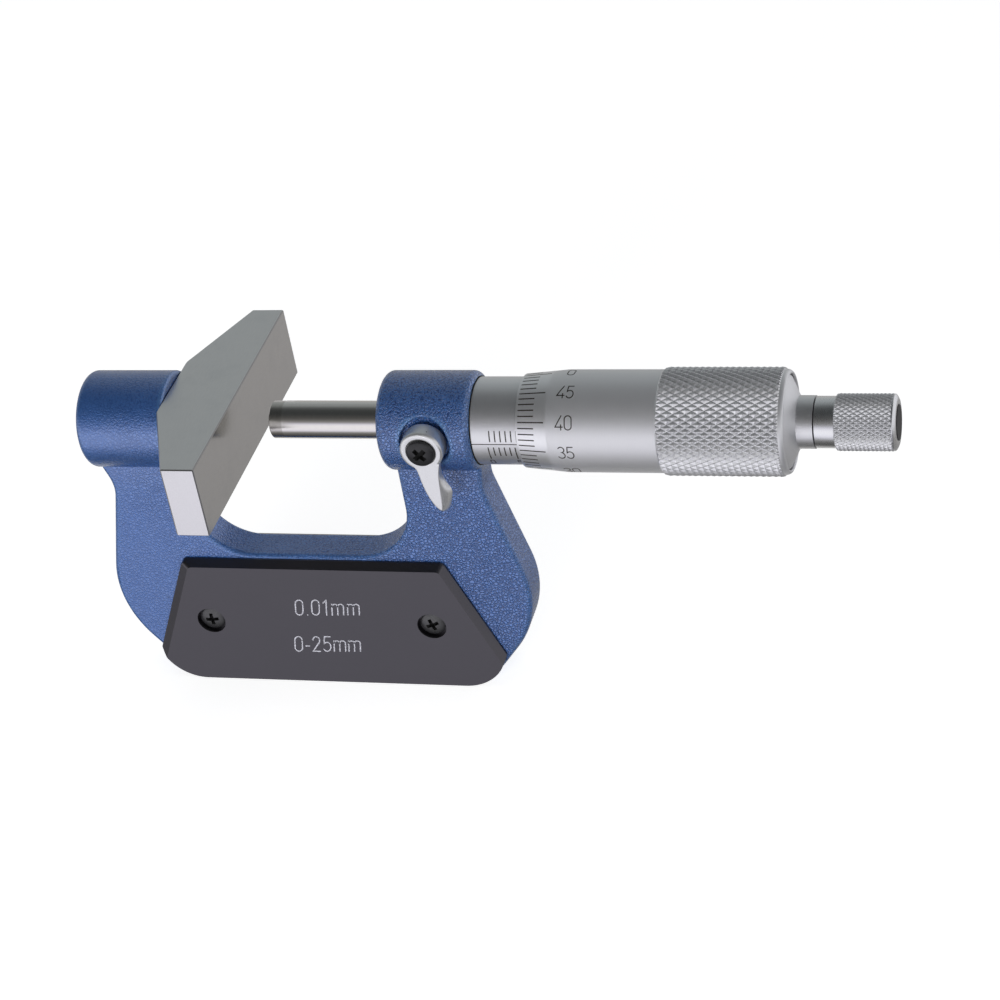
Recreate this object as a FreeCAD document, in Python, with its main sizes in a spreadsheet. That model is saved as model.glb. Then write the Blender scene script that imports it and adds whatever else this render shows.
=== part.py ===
import FreeCAD, Part
import Sketcher
import math
import os

# Anvil micrometer, 0 to 25 mm, in millimetres.
# The origin is the centre of the fixed anvil bar's measuring face, on the spindle's axis.
# +X runs along the spindle to the ratchet, +Z is up, and -Y faces the reader.

# Driving dimensions
SIZES = {
    # measuring range and what it reads now
    "reading": 5.36,
    "travel": 25.0,
    "running_gap": 0.03,
    "seat_gap": 0.02,
    # anvil bar
    "bar_length": 54.0,
    "bar_height": 14.4,
    "bar_thickness": 13.65,
    "bar_end_thickness": 6.3,
    "bar_back_width": 17.0,
    "bar_edge": 0.2,
    "shank_radius": 4.0,
    "shank_length": 12.0,
    # frame bosses
    "boss_radius": 9.1,
    "boss_length": 17.6,
    "left_boss_length": 17.4,
    "boss_round": 1.4,
    "throat": 41.25,
    # frame web
    "web_thickness": 7.5,
    "web_buried": 7.5,
    "web_edge": 0.9,
    "web_middle": 8.0,
    "throat_depth": 28.65,
    "throat_corner": 11.0,
    "leg_inset": 0.8,
    "waist_depth": 13.2,
    "waist_inset_left": 2.2,
    "waist_inset_right": 1.0,
    "waist_round": 8.0,
    "leg_top_left": 0.15,
    "leg_top_right": 0.5,
    "haunch_depth": 41.4,
    "haunch_half_width": 43.7,
    "haunch_round": 21.0,
    "foot_depth": 57.5,
    "foot_half_width": 31.1,
    "foot_round": 9.0,
    # spindle
    "spindle_radius": 3.5,
    "tip_length": 2.45,
    "tip_inset": 0.03,
    "tip_bevel": 0.15,
    "thread_step": 0.5,
    "thread_start": 60.0,
    "thread_relief": 2.0,
    "taper_step": 0.1,
    "taper_length": 6.0,
    "taper_drop": 0.6,
    "spindle_tail": 0.6,
    # guide sleeve and its adjusting nut
    "guide_wall": 1.67,
    "guide_inset": 3.4,
    "guide_bore_length": 26.5,
    "guide_tail": 8.2,
    "guide_tail_wall": 1.45,
    "slit_width": 0.6,
    "slit_count": 3.0,
    "nut_length": 5.0,
    "nut_wall": 1.8,
    "nut_notch": 1.6,
    # scale sleeve
    "sleeve_radius": 7.94,
    "sleeve_wall": 1.9,
    "zero_mark": 48.26,
    "sleeve_overrun": 4.0,
    # thimble
    "thimble_lead": 0.25,
    "thimble_gap": 0.16,
    "thimble_edge_wall": 0.35,
    "thimble_radius": 9.2,
    "thimble_bevel": 7.9,
    "thimble_plain": 17.45,
    "knurl_height": 0.5,
    "knurl_length": 21.6,
    "thimble_rim": 1.05,
    "thimble_end_wall": 7.5,
    # thimble cap
    "cap_radius": 8.5,
    "cap_depth": 2.4,
    "cap_sink": 0.4,
    "cap_cone": 1.75,
    # ratchet
    "collar_radius": 4.7,
    "collar_length": 2.9,
    "collar_gap": 0.2,
    "ratchet_shaft_radius": 2.0,
    "ratchet_flat": 0.35,
    "ratchet_thread_radius": 2.4,
    "ratchet_thread_length": 5.0,
    "knob_neck_radius": 4.58,
    "knob_neck_length": 3.4,
    "knob_radius": 5.08,
    "knob_knurl_length": 9.9,
    "knob_nose": 0.86,
    "knob_nose_radius": 4.25,
    "knob_cavity_radius": 3.7,
    "knob_cavity_depth": 6.4,
    "knob_web": 2.0,
    "knob_rear_radius": 3.2,
    "disc_thickness": 1.0,
    "disc_proud": 0.12,
    "tooth_count": 12.0,
    "tooth_height": 0.5,
    "tooth_gap": 0.1,
    "click_thickness": 1.3,
    "spring_wire": 0.5,
    "spring_radius": 2.9,
    "spring_turns": 4.0,
    "keeper_head_radius": 2.7,
    "keeper_head": 1.3,
    "keeper_radius": 1.2,
    "keeper_length": 4.0,
    # spindle lock
    "lock_place": 36.75,
    "lock_height": 0.6,
    "lock_recess_radius": 4.6,
    "lock_recess_round": 0.4,
    "lock_recess_floor": 6.9,
    "lock_stud_radius": 2.0,
    "lock_stud_collar": 2.5,
    "lock_spigot_radius": 1.75,
    "lock_plug_radius": 1.5,
    "lever_hub_radius": 4.0,
    "lever_thickness": 3.5,
    "lever_round": 0.45,
    "lever_back": 7.9,
    "lock_head_radius": 2.6,
    "lock_head_height": 1.0,
    "lock_head_rim": 0.45,
    "lock_shank_radius": 1.25,
    "lock_hole_spare": 0.5,
    # lever's arm, across and down from the lock's axis
    "arm_clearance": 0.2,
    "arm_root": 1.95,
    "arm_root_left": 2.4,
    "arm_root_right": 3.1,
    "arm_left": 0.68,
    "arm_left_depth": 8.65,
    "arm_bow": 6.5,
    "arm_tip": 1.84,
    "arm_length": 12.7,
    "arm_ridge": 2.15,
    "arm_ridge_end": 11.95,
    "thumb_tip": 2.1,
    "thumb_length": 13.75,
    "thumb_low": 3.42,
    "thumb_low_depth": 11.0,
    "thumb_reach": 3.82,
    "thumb_reach_depth": 9.4,
    "thumb_high": 3.5,
    "thumb_high_depth": 8.2,
    "thumb_start": 7.1,
    # grip plates and their screws
    "plate_thickness": 2.0,
    "plate_middle": 7.7,
    "plate_top_depth": 29.4,
    "plate_half_width": 26.1,
    "plate_top_round": 1.2,
    "plate_side_tuck": 2.3,
    "plate_slope_half_width": 35.25,
    "plate_foot_inset": 2.35,
    "plate_foot_round": 9.0,
    "plate_bevel": 1.0,
    "plate_bevel_depth": 1.6,
    "plate_screw_middle": 7.35,
    "plate_screw_spread": 22.4,
    "plate_screw_depth": 43.2,
    "plate_recess_radius": 2.85,
    "plate_recess_depth": 1.35,
    "plate_head_radius": 2.48,
    "plate_head_height": 1.0,
    "plate_head_rim": 0.5,
    "plate_shank_radius": 1.2,
    "plate_shank_length": 3.9,
}

LEFT_TURN, RIGHT_TURN = 1, -1
SMALLEST_CUT = 0.001
OVERRUN = 1.0


class Size:
    """A size that knows its value and the formula that gives it from the sheet."""

    def __init__(self, value, formula):
        self.value = value
        self.formula = formula

    def combined(self, sign, other, value):
        return Size(value, "(%s %s %s)" % (self.formula, sign, other.formula))

    def __add__(self, other):
        other = as_size(other)
        return self.combined("+", other, self.value + other.value)

    def __sub__(self, other):
        other = as_size(other)
        return self.combined("-", other, self.value - other.value)

    def __mul__(self, other):
        other = as_size(other)
        return self.combined("*", other, self.value * other.value)

    def __truediv__(self, other):
        other = as_size(other)
        return self.combined("/", other, self.value / other.value)

    def __neg__(self):
        return self * -1.0


def as_size(thing):
    if isinstance(thing, Size):
        return thing
    return Size(float(thing), repr(float(thing)))


class Named:
    """The driving dimensions by name."""


S = Named()
for size_name, size_value in SIZES.items():
    setattr(S, size_name, Size(size_value, "Sizes." + size_name))

doc = FreeCAD.newDocument("anvil_micrometer")
sheet = doc.addObject("Spreadsheet::Sheet", "Sizes")
for row, (size_name, size_value) in enumerate(SIZES.items(), start=1):
    sheet.set("A%d" % row, size_name.replace("_", " "))
    sheet.set("B%d" % row, str(size_value))
    sheet.setAlias("B%d" % row, size_name)
doc.recompute()

nodes = []


# Modelling helpers
def new_body(label, place=None, half_turn=False):
    """An empty body, one node of the part, set at a place and perhaps turned back to front."""
    body = doc.addObject("PartDesign::Body", label)
    body.Label = label
    if half_turn:
        body.Placement.Rotation = FreeCAD.Rotation(FreeCAD.Vector(0, 0, 1), 180)
    for axis, distance in (place or {}).items():
        body.setExpression("Placement.Base." + axis, as_size(distance).formula)
    nodes.append(body)
    return body


def origin_part(body, role):
    return [item for item in body.Origin.OriginFeatures if item.Role == role][0]


def sketch_on(body, name, plane, height=None):
    """A sketch on one of the body's own planes, moved along that plane's normal."""
    sketch = body.newObject("Sketcher::SketchObject", name)
    sketch.AttachmentSupport = [(origin_part(body, plane), "")]
    sketch.MapMode = "FlatFace"
    if height is not None:
        sketch.setExpression("AttachmentOffset.Base.z", as_size(height).formula)
    return sketch


def arc_between(start, stop, radius, turn):
    """The short arc of a radius from start to stop, which turns left or right."""
    chord = stop - start
    rise = math.sqrt(radius ** 2 - (chord.Length / 2) ** 2)
    side = FreeCAD.Vector(-chord.y, chord.x, 0).normalize()
    centre = (start + stop) / 2 + side * rise * turn
    first, last = (start, stop) if turn == LEFT_TURN else (stop, start)
    begin = math.atan2(first.y - centre.y, first.x - centre.x)
    end = math.atan2(last.y - centre.y, last.x - centre.x)
    circle = Part.Circle(centre, FreeCAD.Vector(0, 0, 1), radius)
    return Part.ArcOfCircle(circle, begin, end)


def pin(sketch, geometry, end, kind, axis, size):
    """Holds one coordinate of a point to its formula, or to the axis if it is zero."""
    size = as_size(size)
    if size.value == 0:
        sketch.addConstraint(Sketcher.Constraint("PointOnObject", geometry, end, axis))
        return
    number = sketch.addConstraint(Sketcher.Constraint(kind, -1, 1, geometry, end, size.value))
    sketch.setExpression("Constraints[%d]" % number, size.formula)


def outline(sketch, points):
    """A closed outline. Each point is (across, up), and (across, up, radius, turn) ends an arc."""
    flat = [FreeCAD.Vector(as_size(p[0]).value, as_size(p[1]).value, 0) for p in points]
    edges = []
    for index, start in enumerate(flat):
        after = (index + 1) % len(points)
        bend = points[after][2:]
        if not bend:
            number = sketch.addGeometry(Part.LineSegment(start, flat[after]), False)
            edges.append((number, 1, 2))
            continue
        radius, turn = as_size(bend[0]), bend[1]
        number = sketch.addGeometry(arc_between(start, flat[after], radius.value, turn), False)
        edges.append((number, 1, 2) if turn == LEFT_TURN else (number, 2, 1))
        bound = sketch.addConstraint(Sketcher.Constraint("Radius", number, radius.value))
        sketch.setExpression("Constraints[%d]" % bound, radius.formula)
    for index, (number, first, last) in enumerate(edges):
        following = edges[(index + 1) % len(edges)]
        sketch.addConstraint(Sketcher.Constraint("Coincident", number, last, *following[:2]))
        pin(sketch, number, first, "DistanceX", -2, points[index][0])
        pin(sketch, number, first, "DistanceY", -1, points[index][1])


def circle_at(sketch, across, up, radius):
    """A full circle, held to its centre and radius."""
    across, up, radius = as_size(across), as_size(up), as_size(radius)
    centre = FreeCAD.Vector(across.value, up.value, 0)
    ring = Part.Circle(centre, FreeCAD.Vector(0, 0, 1), radius.value)
    number = sketch.addGeometry(ring, False)
    pin(sketch, number, 3, "DistanceX", -2, across)
    pin(sketch, number, 3, "DistanceY", -1, up)
    bound = sketch.addConstraint(Sketcher.Constraint("Radius", number, radius.value))
    sketch.setExpression("Constraints[%d]" % bound, radius.formula)


def revolved(body, name, profiles, plane="XZ_Plane", axis="H_Axis", kind="Revolution"):
    """Closed profiles turned about an axis of their sketch, added or cut away."""
    sketch = sketch_on(body, name + "_profile", plane)
    for profile in profiles:
        outline(sketch, profile)
    feature = body.newObject("PartDesign::" + kind, name)
    feature.Profile = sketch
    feature.ReferenceAxis = (sketch, [axis])
    feature.Angle = 360
    return feature


def extruded(body, name, sketch, length, kind="Pad", symmetric=False, backwards=False):
    """A sketch padded or cut along its normal, or half to each side."""
    feature = body.newObject("PartDesign::" + kind, name)
    feature.Profile = sketch
    feature.setExpression("Length", as_size(length).formula)
    if symmetric:
        feature.SideType = "Symmetric"
    feature.Reversed = backwards
    return feature


def dressed(body, name, kind, base, edges, size):
    """A fillet or a chamfer on the edges of a feature, found once it is built."""
    feature = body.newObject("PartDesign::" + kind, name)
    feature.Base = (base, edges)
    value = "Radius" if kind == "Fillet" else "Size"
    feature.setExpression(value, as_size(size).formula)
    doc.recompute()
    return feature


def edges_where(feature, test):
    """The names of a feature's edges that pass a test."""
    doc.recompute()
    names = []
    for number, edge in enumerate(feature.Shape.Edges, start=1):
        if test(edge):
            names.append("Edge%d" % number)
    return names


def near(value, other):
    return abs(value - other) < 0.001


def patterned(body, name, feature, count):
    """A feature repeated about the spindle's axis."""
    pattern = body.newObject("PartDesign::PolarPattern", name)
    pattern.Originals = [feature]
    pattern.Axis = (origin_part(body, "X_Axis"), [""])
    pattern.Angle = 360
    pattern.setExpression("Occurrences", count.formula)
    body.Tip = pattern
    return pattern


# Places that several pieces share
frame_end = S.throat + S.boss_length - S.bar_thickness
boss_gap_end = S.throat - S.bar_thickness
boss_left = -S.bar_thickness - S.left_boss_length
web_half = S.web_thickness / 2
guide_bore = S.spindle_radius + S.running_gap
guide_outer = guide_bore + S.guide_wall
guide_start = boss_gap_end + S.guide_inset
thread_radius = S.spindle_radius + S.thread_step
thread_bore = thread_radius + S.running_gap
guide_bore_end = guide_start + S.guide_bore_length
sleeve_end = S.zero_mark + S.travel + S.sleeve_overrun
sleeve_bore = S.sleeve_radius - S.sleeve_wall
guide_tail_radius = thread_bore + S.guide_tail_wall
guide_end = sleeve_end + S.guide_tail


# Anvil bar: a wide bar whose back tapers to both ends, with a shank behind it
def make_anvil_bar():
    body = new_body("anvil_bar")
    half = S.bar_length / 2
    back = S.bar_back_width / 2
    plan = sketch_on(body, "bar_plan", "XY_Plane")
    outline(plan, [
        (0, -half), (0, half), (-S.bar_end_thickness, half), (-S.bar_thickness, back),
        (-S.bar_thickness, -back), (-S.bar_end_thickness, -half)])
    block = extruded(body, "bar_block", plan, S.bar_height, symmetric=True)
    edges = edges_where(block, lambda edge: True)
    dressed(body, "bar_edges", "Chamfer", block, edges, S.bar_edge)
    revolved(body, "bar_shank", [[
        (-S.bar_end_thickness, 0), (-S.bar_end_thickness, S.shank_radius),
        (-S.bar_thickness - S.shank_length, S.shank_radius),
        (-S.bar_thickness - S.shank_length, 0)]])


# Frame: a U-shaped web with two round bosses, bored and drilled
def web_points():
    """The web's outline, with sharp corners, from the left boss round the foot to the right."""
    hidden = -S.web_buried
    left, right = boss_left + S.waist_inset_left, frame_end - S.waist_inset_right
    inner_left = -S.bar_thickness - S.leg_inset
    inner_right = boss_gap_end + S.leg_inset
    return {
        "waist": [(left, -S.waist_depth), (right, -S.waist_depth)],
        "haunch": [(S.web_middle - S.haunch_half_width, -S.haunch_depth),
                   (S.web_middle + S.haunch_half_width, -S.haunch_depth)],
        "foot": [(S.web_middle - S.foot_half_width, -S.foot_depth),
                 (S.web_middle + S.foot_half_width, -S.foot_depth)],
        "throat": [(inner_left, -S.throat_depth), (inner_right, -S.throat_depth)],
        "top": [(boss_left + S.leg_top_left, hidden), (frame_end - S.leg_top_right, hidden),
                (inner_right, hidden), (inner_left, hidden)],
    }


def rounded_corner(body, base, name, corners, radius):
    """Rounds the edges that stand on the given corners of the web's outline."""
    def stands_on(edge):
        ends = [vertex.Point for vertex in edge.Vertexes]
        return len(ends) == 2 and any(
            all(near(end.x, x.value) and near(end.z, z.value) for end in ends)
            for x, z in corners)
    return dressed(body, name, "Fillet", base, edges_where(base, stands_on), radius)


def make_frame():
    body = new_body("frame")
    points = web_points()
    top = points["top"]
    web = sketch_on(body, "web_outline", "XZ_Plane")
    outline(web, [
        top[0], points["waist"][0], points["haunch"][0], points["foot"][0],
        points["foot"][1], points["haunch"][1], points["waist"][1], top[1],
        top[2], points["throat"][1], points["throat"][0], top[3]])
    shape = extruded(body, "web", web, S.web_thickness, symmetric=True)
    rounds = {"haunch": S.haunch_round, "foot": S.foot_round,
              "throat": S.throat_corner, "waist": S.waist_round}
    for corner, radius in rounds.items():
        shape = rounded_corner(body, shape, corner + "_round", points[corner], radius)

    # both faces of the web have rounded edges, up into the bosses
    hidden = top[0][1].value
    def on_face(edge):
        ends = [vertex.Point for vertex in edge.Vertexes]
        flat = all(near(abs(end.y), web_half.value) for end in ends)
        return flat and not all(near(end.z, hidden) for end in ends)
    dressed(body, "web_edges", "Fillet", shape, edges_where(shape, on_face), S.web_edge)

    def boss(start, stop, first_round, last_round):
        return [
            (start, 0), (start, S.boss_radius - first_round),
            (start + first_round, S.boss_radius, first_round, RIGHT_TURN),
            (stop - last_round, S.boss_radius),
            (stop, S.boss_radius - last_round, last_round, RIGHT_TURN), (stop, 0)]
    revolved(body, "bosses", [
        boss(boss_left, -S.bar_thickness, S.boss_round, S.boss_round / 2),
        boss(boss_gap_end, frame_end, S.boss_round, S.boss_round)])

    # bores for the bar's shank, the spindle and the guide sleeve
    shank_bore = S.shank_radius + S.seat_gap
    shank_floor = -S.bar_thickness - S.shank_length - OVERRUN
    spindle_hole = S.spindle_radius + S.running_gap * 3
    guide_hole = guide_outer + S.seat_gap
    revolved(body, "bores", [
        [(shank_floor, 0), (shank_floor, shank_bore), (-S.bar_thickness + OVERRUN, shank_bore),
         (-S.bar_thickness + OVERRUN, 0)],
        [(boss_gap_end - OVERRUN, 0), (boss_gap_end - OVERRUN, spindle_hole),
         (guide_start, spindle_hole), (guide_start, guide_hole),
         (frame_end + OVERRUN, guide_hole), (frame_end + OVERRUN, 0)]],
        kind="Groove")

    # recess and threaded hole of the spindle lock
    def on_recess_rim(edge):
        if edge.Curve.TypeId in ("Part::GeomLine", "Part::GeomCircle"):
            return False
        middle = edge.valueAt((edge.FirstParameter + edge.LastParameter) / 2)
        across, up = middle.x - S.lock_place.value, middle.z - S.lock_height.value
        return middle.y < 0 and near(math.hypot(across, up), S.lock_recess_radius.value)

    outside = S.boss_radius + OVERRUN
    recess = sketch_on(body, "lock_recess_circle", "XZ_Plane", outside)
    circle_at(recess, S.lock_place, S.lock_height, S.lock_recess_radius)
    pocket = extruded(body, "lock_recess", recess, outside - S.lock_recess_floor, kind="Pocket")
    rim = edges_where(pocket, on_recess_rim)
    dressed(body, "lock_recess_rim", "Fillet", pocket, rim, S.lock_recess_round)
    thread = sketch_on(body, "lock_thread_circle", "XZ_Plane", outside)
    circle_at(thread, S.lock_place, S.lock_height, S.lock_stud_radius + S.running_gap)
    extruded(body, "lock_thread", thread, outside - guide_bore, kind="Pocket")

    # threaded holes of the grip plates' screws, right through the web
    holes = sketch_on(body, "plate_hole_circles", "XZ_Plane", web_half + OVERRUN)
    for side in (-1, 1):
        circle_at(holes, S.plate_screw_middle + S.plate_screw_spread * side,
                  -S.plate_screw_depth, S.plate_shank_radius + S.seat_gap)
    extruded(body, "plate_holes", holes, S.web_thickness + OVERRUN * 2, kind="Pocket")


# Places along the thimble at a reading of zero, and the taper on which it sits
thimble_start = S.zero_mark + S.thimble_lead
thimble_bore = S.sleeve_radius + S.thimble_gap
knurl_start = thimble_start + S.thimble_bevel + S.thimble_plain
knurl_end = knurl_start + S.knurl_length
knurl_radius = S.thimble_radius + S.knurl_height
thimble_end = knurl_end + S.thimble_rim
thimble_wall = thimble_end - S.thimble_end_wall
cap_floor = thimble_end - S.cap_depth
cap_face = thimble_end - S.cap_sink
collar_start = cap_face + S.cap_cone
taper_start = thimble_wall
thread_end = taper_start - S.thread_relief
taper_big = thread_radius - S.taper_step
taper_small = taper_big - S.taper_drop
spindle_end = taper_start + S.taper_length + S.spindle_tail
ratchet_hole = S.ratchet_thread_radius + S.running_gap


# Spindle with its carbide tip, drawn at a reading of zero and moved by the reading
def make_spindle():
    body = new_body("spindle", {"x": S.reading})
    hole_floor = spindle_end - S.ratchet_thread_length
    revolved(body, "spindle_turned", [[
        (S.tip_length, 0), (S.tip_length, S.spindle_radius),
        (S.thread_start, S.spindle_radius), (S.thread_start, thread_radius),
        (thread_end, thread_radius), (thread_end, taper_big),
        (taper_start, taper_big), (taper_start + S.taper_length, taper_small),
        (spindle_end, taper_small), (spindle_end, ratchet_hole),
        (hole_floor, ratchet_hole), (hole_floor, 0)]])
    tip = new_body("spindle_tip", {"x": S.reading})
    tip_radius = S.spindle_radius - S.tip_inset
    revolved(tip, "tip_turned", [[
        (0, 0), (0, tip_radius - S.tip_bevel), (S.tip_bevel, tip_radius), (S.tip_length, tip_radius),
        (S.tip_length, 0)]])


# Guide sleeve: guides the spindle, carries its nut thread and is split at its end
def make_guide_sleeve():
    body = new_body("guide_sleeve")
    collar = sleeve_bore - S.seat_gap
    revolved(body, "guide_turned", [[
        (guide_start, guide_bore), (guide_start, guide_outer), (frame_end, guide_outer),
        (frame_end, collar), (sleeve_end, collar), (sleeve_end, guide_tail_radius),
        (guide_end, guide_tail_radius), (guide_end, thread_bore),
        (guide_bore_end, thread_bore), (guide_bore_end, guide_bore)]])
    hole = sketch_on(body, "plug_hole_circle", "XZ_Plane", S.boss_radius)
    circle_at(hole, S.lock_place, S.lock_height, S.lock_plug_radius + S.seat_gap)
    extruded(body, "plug_hole", hole, S.boss_radius - S.spindle_radius / 2, kind="Pocket")
    slit = sketch_on(body, "slit_outline", "XY_Plane")
    start, half = sleeve_end + S.nut_notch, S.slit_width / 2
    stop = guide_end + OVERRUN
    outline(slit, [(start, -half), (stop, -half), (stop, half), (start, half)])
    cut = extruded(body, "slit", slit, guide_tail_radius + OVERRUN, kind="Pocket",
                   backwards=True)
    patterned(body, "slits", cut, S.slit_count)


# Adjusting nut: closes the guide sleeve's split end on the spindle's thread
def make_adjusting_nut():
    body = new_body("adjusting_nut")
    start = sleeve_end + S.nut_notch / 2
    bore = guide_tail_radius + S.seat_gap
    outer = bore + S.nut_wall
    stop = start + S.nut_length
    revolved(body, "nut_turned", [[(start, bore), (start, outer), (stop, outer), (stop, bore)]])
    notch = sketch_on(body, "notch_outline", "XY_Plane")
    half = S.nut_notch / 2
    floor, past = stop - S.nut_notch, stop + OVERRUN
    outline(notch, [(floor, -half), (past, -half), (past, half), (floor, half)])
    cut = extruded(body, "notch", notch, outer + OVERRUN, kind="Pocket", backwards=True)
    patterned(body, "notches", cut, S.slit_count)


def make_scale_sleeve():
    body = new_body("scale_sleeve")
    revolved(body, "sleeve_turned", [[
        (frame_end, sleeve_bore), (frame_end, S.sleeve_radius), (sleeve_end, S.sleeve_radius),
        (sleeve_end, sleeve_bore)]])


# Thimble and its cap, drawn at a reading of zero
def make_thimble():
    body = new_body("thimble", {"x": S.reading})
    slope = S.taper_drop / S.taper_length
    def taper_at(place):
        return taper_big - slope * (place - taper_start) + S.running_gap
    revolved(body, "thimble_turned", [[
        (thimble_start, thimble_bore), (thimble_start, thimble_bore + S.thimble_edge_wall),
        (thimble_start + S.thimble_bevel, S.thimble_radius), (knurl_start, S.thimble_radius),
        (knurl_start + S.knurl_height, knurl_radius), (knurl_end, knurl_radius),
        (thimble_end, knurl_radius - S.thimble_rim, S.thimble_rim, RIGHT_TURN),
        (thimble_end, S.cap_radius), (cap_floor, S.cap_radius),
        (cap_floor, taper_at(cap_floor)), (thimble_wall, taper_at(thimble_wall)),
        (thimble_wall, thimble_bore)]])


def make_thimble_cap():
    body = new_body("thimble_cap", {"x": S.reading})
    outer = S.cap_radius - S.seat_gap
    clear = spindle_end + S.collar_gap
    revolved(body, "cap_turned", [[
        (cap_floor, taper_big), (cap_floor, outer), (cap_face, outer),
        (collar_start, S.collar_radius), (collar_start, ratchet_hole),
        (clear, ratchet_hole), (clear, taper_big)]])


# Ratchet: a collar with a flatted shaft, a sprung click disc and the knob that slips over it
collar_end = collar_start + S.collar_length
knob_start = collar_end + S.collar_gap
cavity_floor = knob_start + S.knob_cavity_depth
tooth_tips = cavity_floor - S.tooth_height
knob_web_end = cavity_floor + S.knob_web
shaft_end = knob_web_end + S.collar_gap
shaft_bore = S.ratchet_shaft_radius + S.running_gap
click_tips = tooth_tips - S.tooth_gap
click_face = click_tips - S.tooth_height
click_back = click_face - S.click_thickness
tooth_ring = S.knob_cavity_radius - S.tooth_gap


def make_ratchet_body():
    body = new_body("ratchet_body", {"x": S.reading})
    stub_end = spindle_end - S.ratchet_thread_length + S.collar_gap
    hole = S.keeper_radius + S.seat_gap
    floor = shaft_end - S.keeper_length - S.collar_gap
    revolved(body, "ratchet_turned", [[
        (stub_end, 0), (stub_end, S.ratchet_thread_radius),
        (collar_start, S.ratchet_thread_radius), (collar_start, S.collar_radius),
        (collar_end, S.collar_radius), (collar_end, S.ratchet_shaft_radius),
        (shaft_end, S.ratchet_shaft_radius), (shaft_end, hole), (floor, hole), (floor, 0)]])
    flats = sketch_on(body, "flat_outline", "YZ_Plane", collar_end)
    reach = S.ratchet_shaft_radius + OVERRUN
    inner = S.ratchet_shaft_radius - S.ratchet_flat
    for side in (-1, 1):
        outline(flats, [(-reach, inner * side), (reach, inner * side),
                        (reach, reach * side), (-reach, reach * side)])
    extruded(body, "flats", flats, click_face - collar_end + S.tooth_height, kind="Pocket",
             backwards=True)


def saw_teeth(body, name, root, tip, height):
    """Saw teeth cut into a ring's face about the spindle's axis."""
    pitch = tooth_ring * (2 * math.pi) / S.tooth_count
    half = pitch / 2
    cut = sketch_on(body, name + "_outline", "XY_Plane")
    outline(cut, [(tip, -half), (root, half), (tip + height, half), (tip + height, -half)])
    tooth = extruded(body, name, cut, tooth_ring + OVERRUN, kind="Pocket", backwards=True)
    return patterned(body, name + "_ring", tooth, S.tooth_count)


def make_click_disc():
    body = new_body("ratchet_click_disc", {"x": S.reading})
    revolved(body, "click_turned", [[
        (click_back, shaft_bore), (click_back, tooth_ring), (click_tips, tooth_ring),
        (click_tips, shaft_bore)]])
    saw_teeth(body, "click_tooth", click_face, click_tips, S.tooth_gap)


def make_ratchet_spring():
    body = new_body("ratchet_spring", {"x": S.reading})
    wire = S.spring_wire / 2
    first = collar_end + wire + S.seat_gap
    last = click_back - wire - S.seat_gap
    profile = sketch_on(body, "wire_circle", "XZ_Plane")
    circle_at(profile, first, S.spring_radius, wire)
    coil = body.newObject("PartDesign::AdditiveHelix", "coil")
    coil.Profile = profile
    coil.ReferenceAxis = (profile, ["H_Axis"])
    coil.Mode = "height-turns-angle"
    coil.setExpression("Height", (last - first).formula)
    coil.setExpression("Turns", S.spring_turns.formula)


def make_ratchet_screw():
    body = new_body("ratchet_screw", {"x": S.reading})
    head_end = shaft_end + S.keeper_head
    revolved(body, "keeper_turned", [[
        (shaft_end - S.keeper_length, 0), (shaft_end - S.keeper_length, S.keeper_radius),
        (shaft_end, S.keeper_radius), (shaft_end, S.keeper_head_radius),
        (head_end, S.keeper_head_radius), (head_end, 0)]])
    slot = sketch_on(body, "keeper_slot_outline", "XY_Plane")
    depth, half = S.keeper_head / 2, S.keeper_head / 4
    floor, past = head_end - depth, head_end + OVERRUN
    outline(slot, [(floor, -half), (past, -half), (past, half), (floor, half)])
    extruded(body, "keeper_slot", slot, S.keeper_head_radius * 2 + OVERRUN, kind="Pocket",
             symmetric=True)


knob_knurl_start = knob_start + S.knob_neck_length
knob_knurl_end = knob_knurl_start + S.knob_knurl_length
knob_end = knob_knurl_end + S.knob_nose
disc_start = knob_end + S.disc_proud - S.disc_thickness
disc_radius = S.knob_rear_radius - S.running_gap


def make_ratchet_knob():
    body = new_body("ratchet_knob", {"x": S.reading})
    keeper_bore = S.keeper_head_radius + S.tooth_gap * 2
    step = S.knob_radius - S.knob_neck_radius
    revolved(body, "knob_turned", [[
        (knob_start, S.knob_cavity_radius), (knob_start, S.knob_neck_radius),
        (knob_knurl_start, S.knob_neck_radius), (knob_knurl_start + step / 2, S.knob_radius),
        (knob_knurl_end, S.knob_radius), (knob_end, S.knob_nose_radius),
        (knob_end, S.knob_rear_radius), (disc_start, S.knob_rear_radius),
        (disc_start, keeper_bore), (knob_web_end, keeper_bore), (knob_web_end, shaft_bore),
        (tooth_tips, shaft_bore), (tooth_tips, tooth_ring), (cavity_floor, tooth_ring),
        (cavity_floor, S.knob_cavity_radius)]])
    saw_teeth(body, "knob_tooth", cavity_floor - S.tooth_gap / 2, tooth_tips, -S.tooth_gap)
    disc = new_body("knob_end_disc", {"x": S.reading})
    disc_end = disc_start + S.disc_thickness
    revolved(disc, "disc_turned", [[
        (disc_start, 0), (disc_start, disc_radius), (disc_end, disc_radius), (disc_end, 0)]])


# Spindle lock: lever, stud, screw and plug about an axis along Y
lever_front = S.lever_back + S.lever_thickness
stud_end = guide_outer + S.seat_gap * 5
plug_start = S.spindle_radius + S.seat_gap * 2
lock_at = {"x": S.lock_place, "z": S.lock_height}


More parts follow.
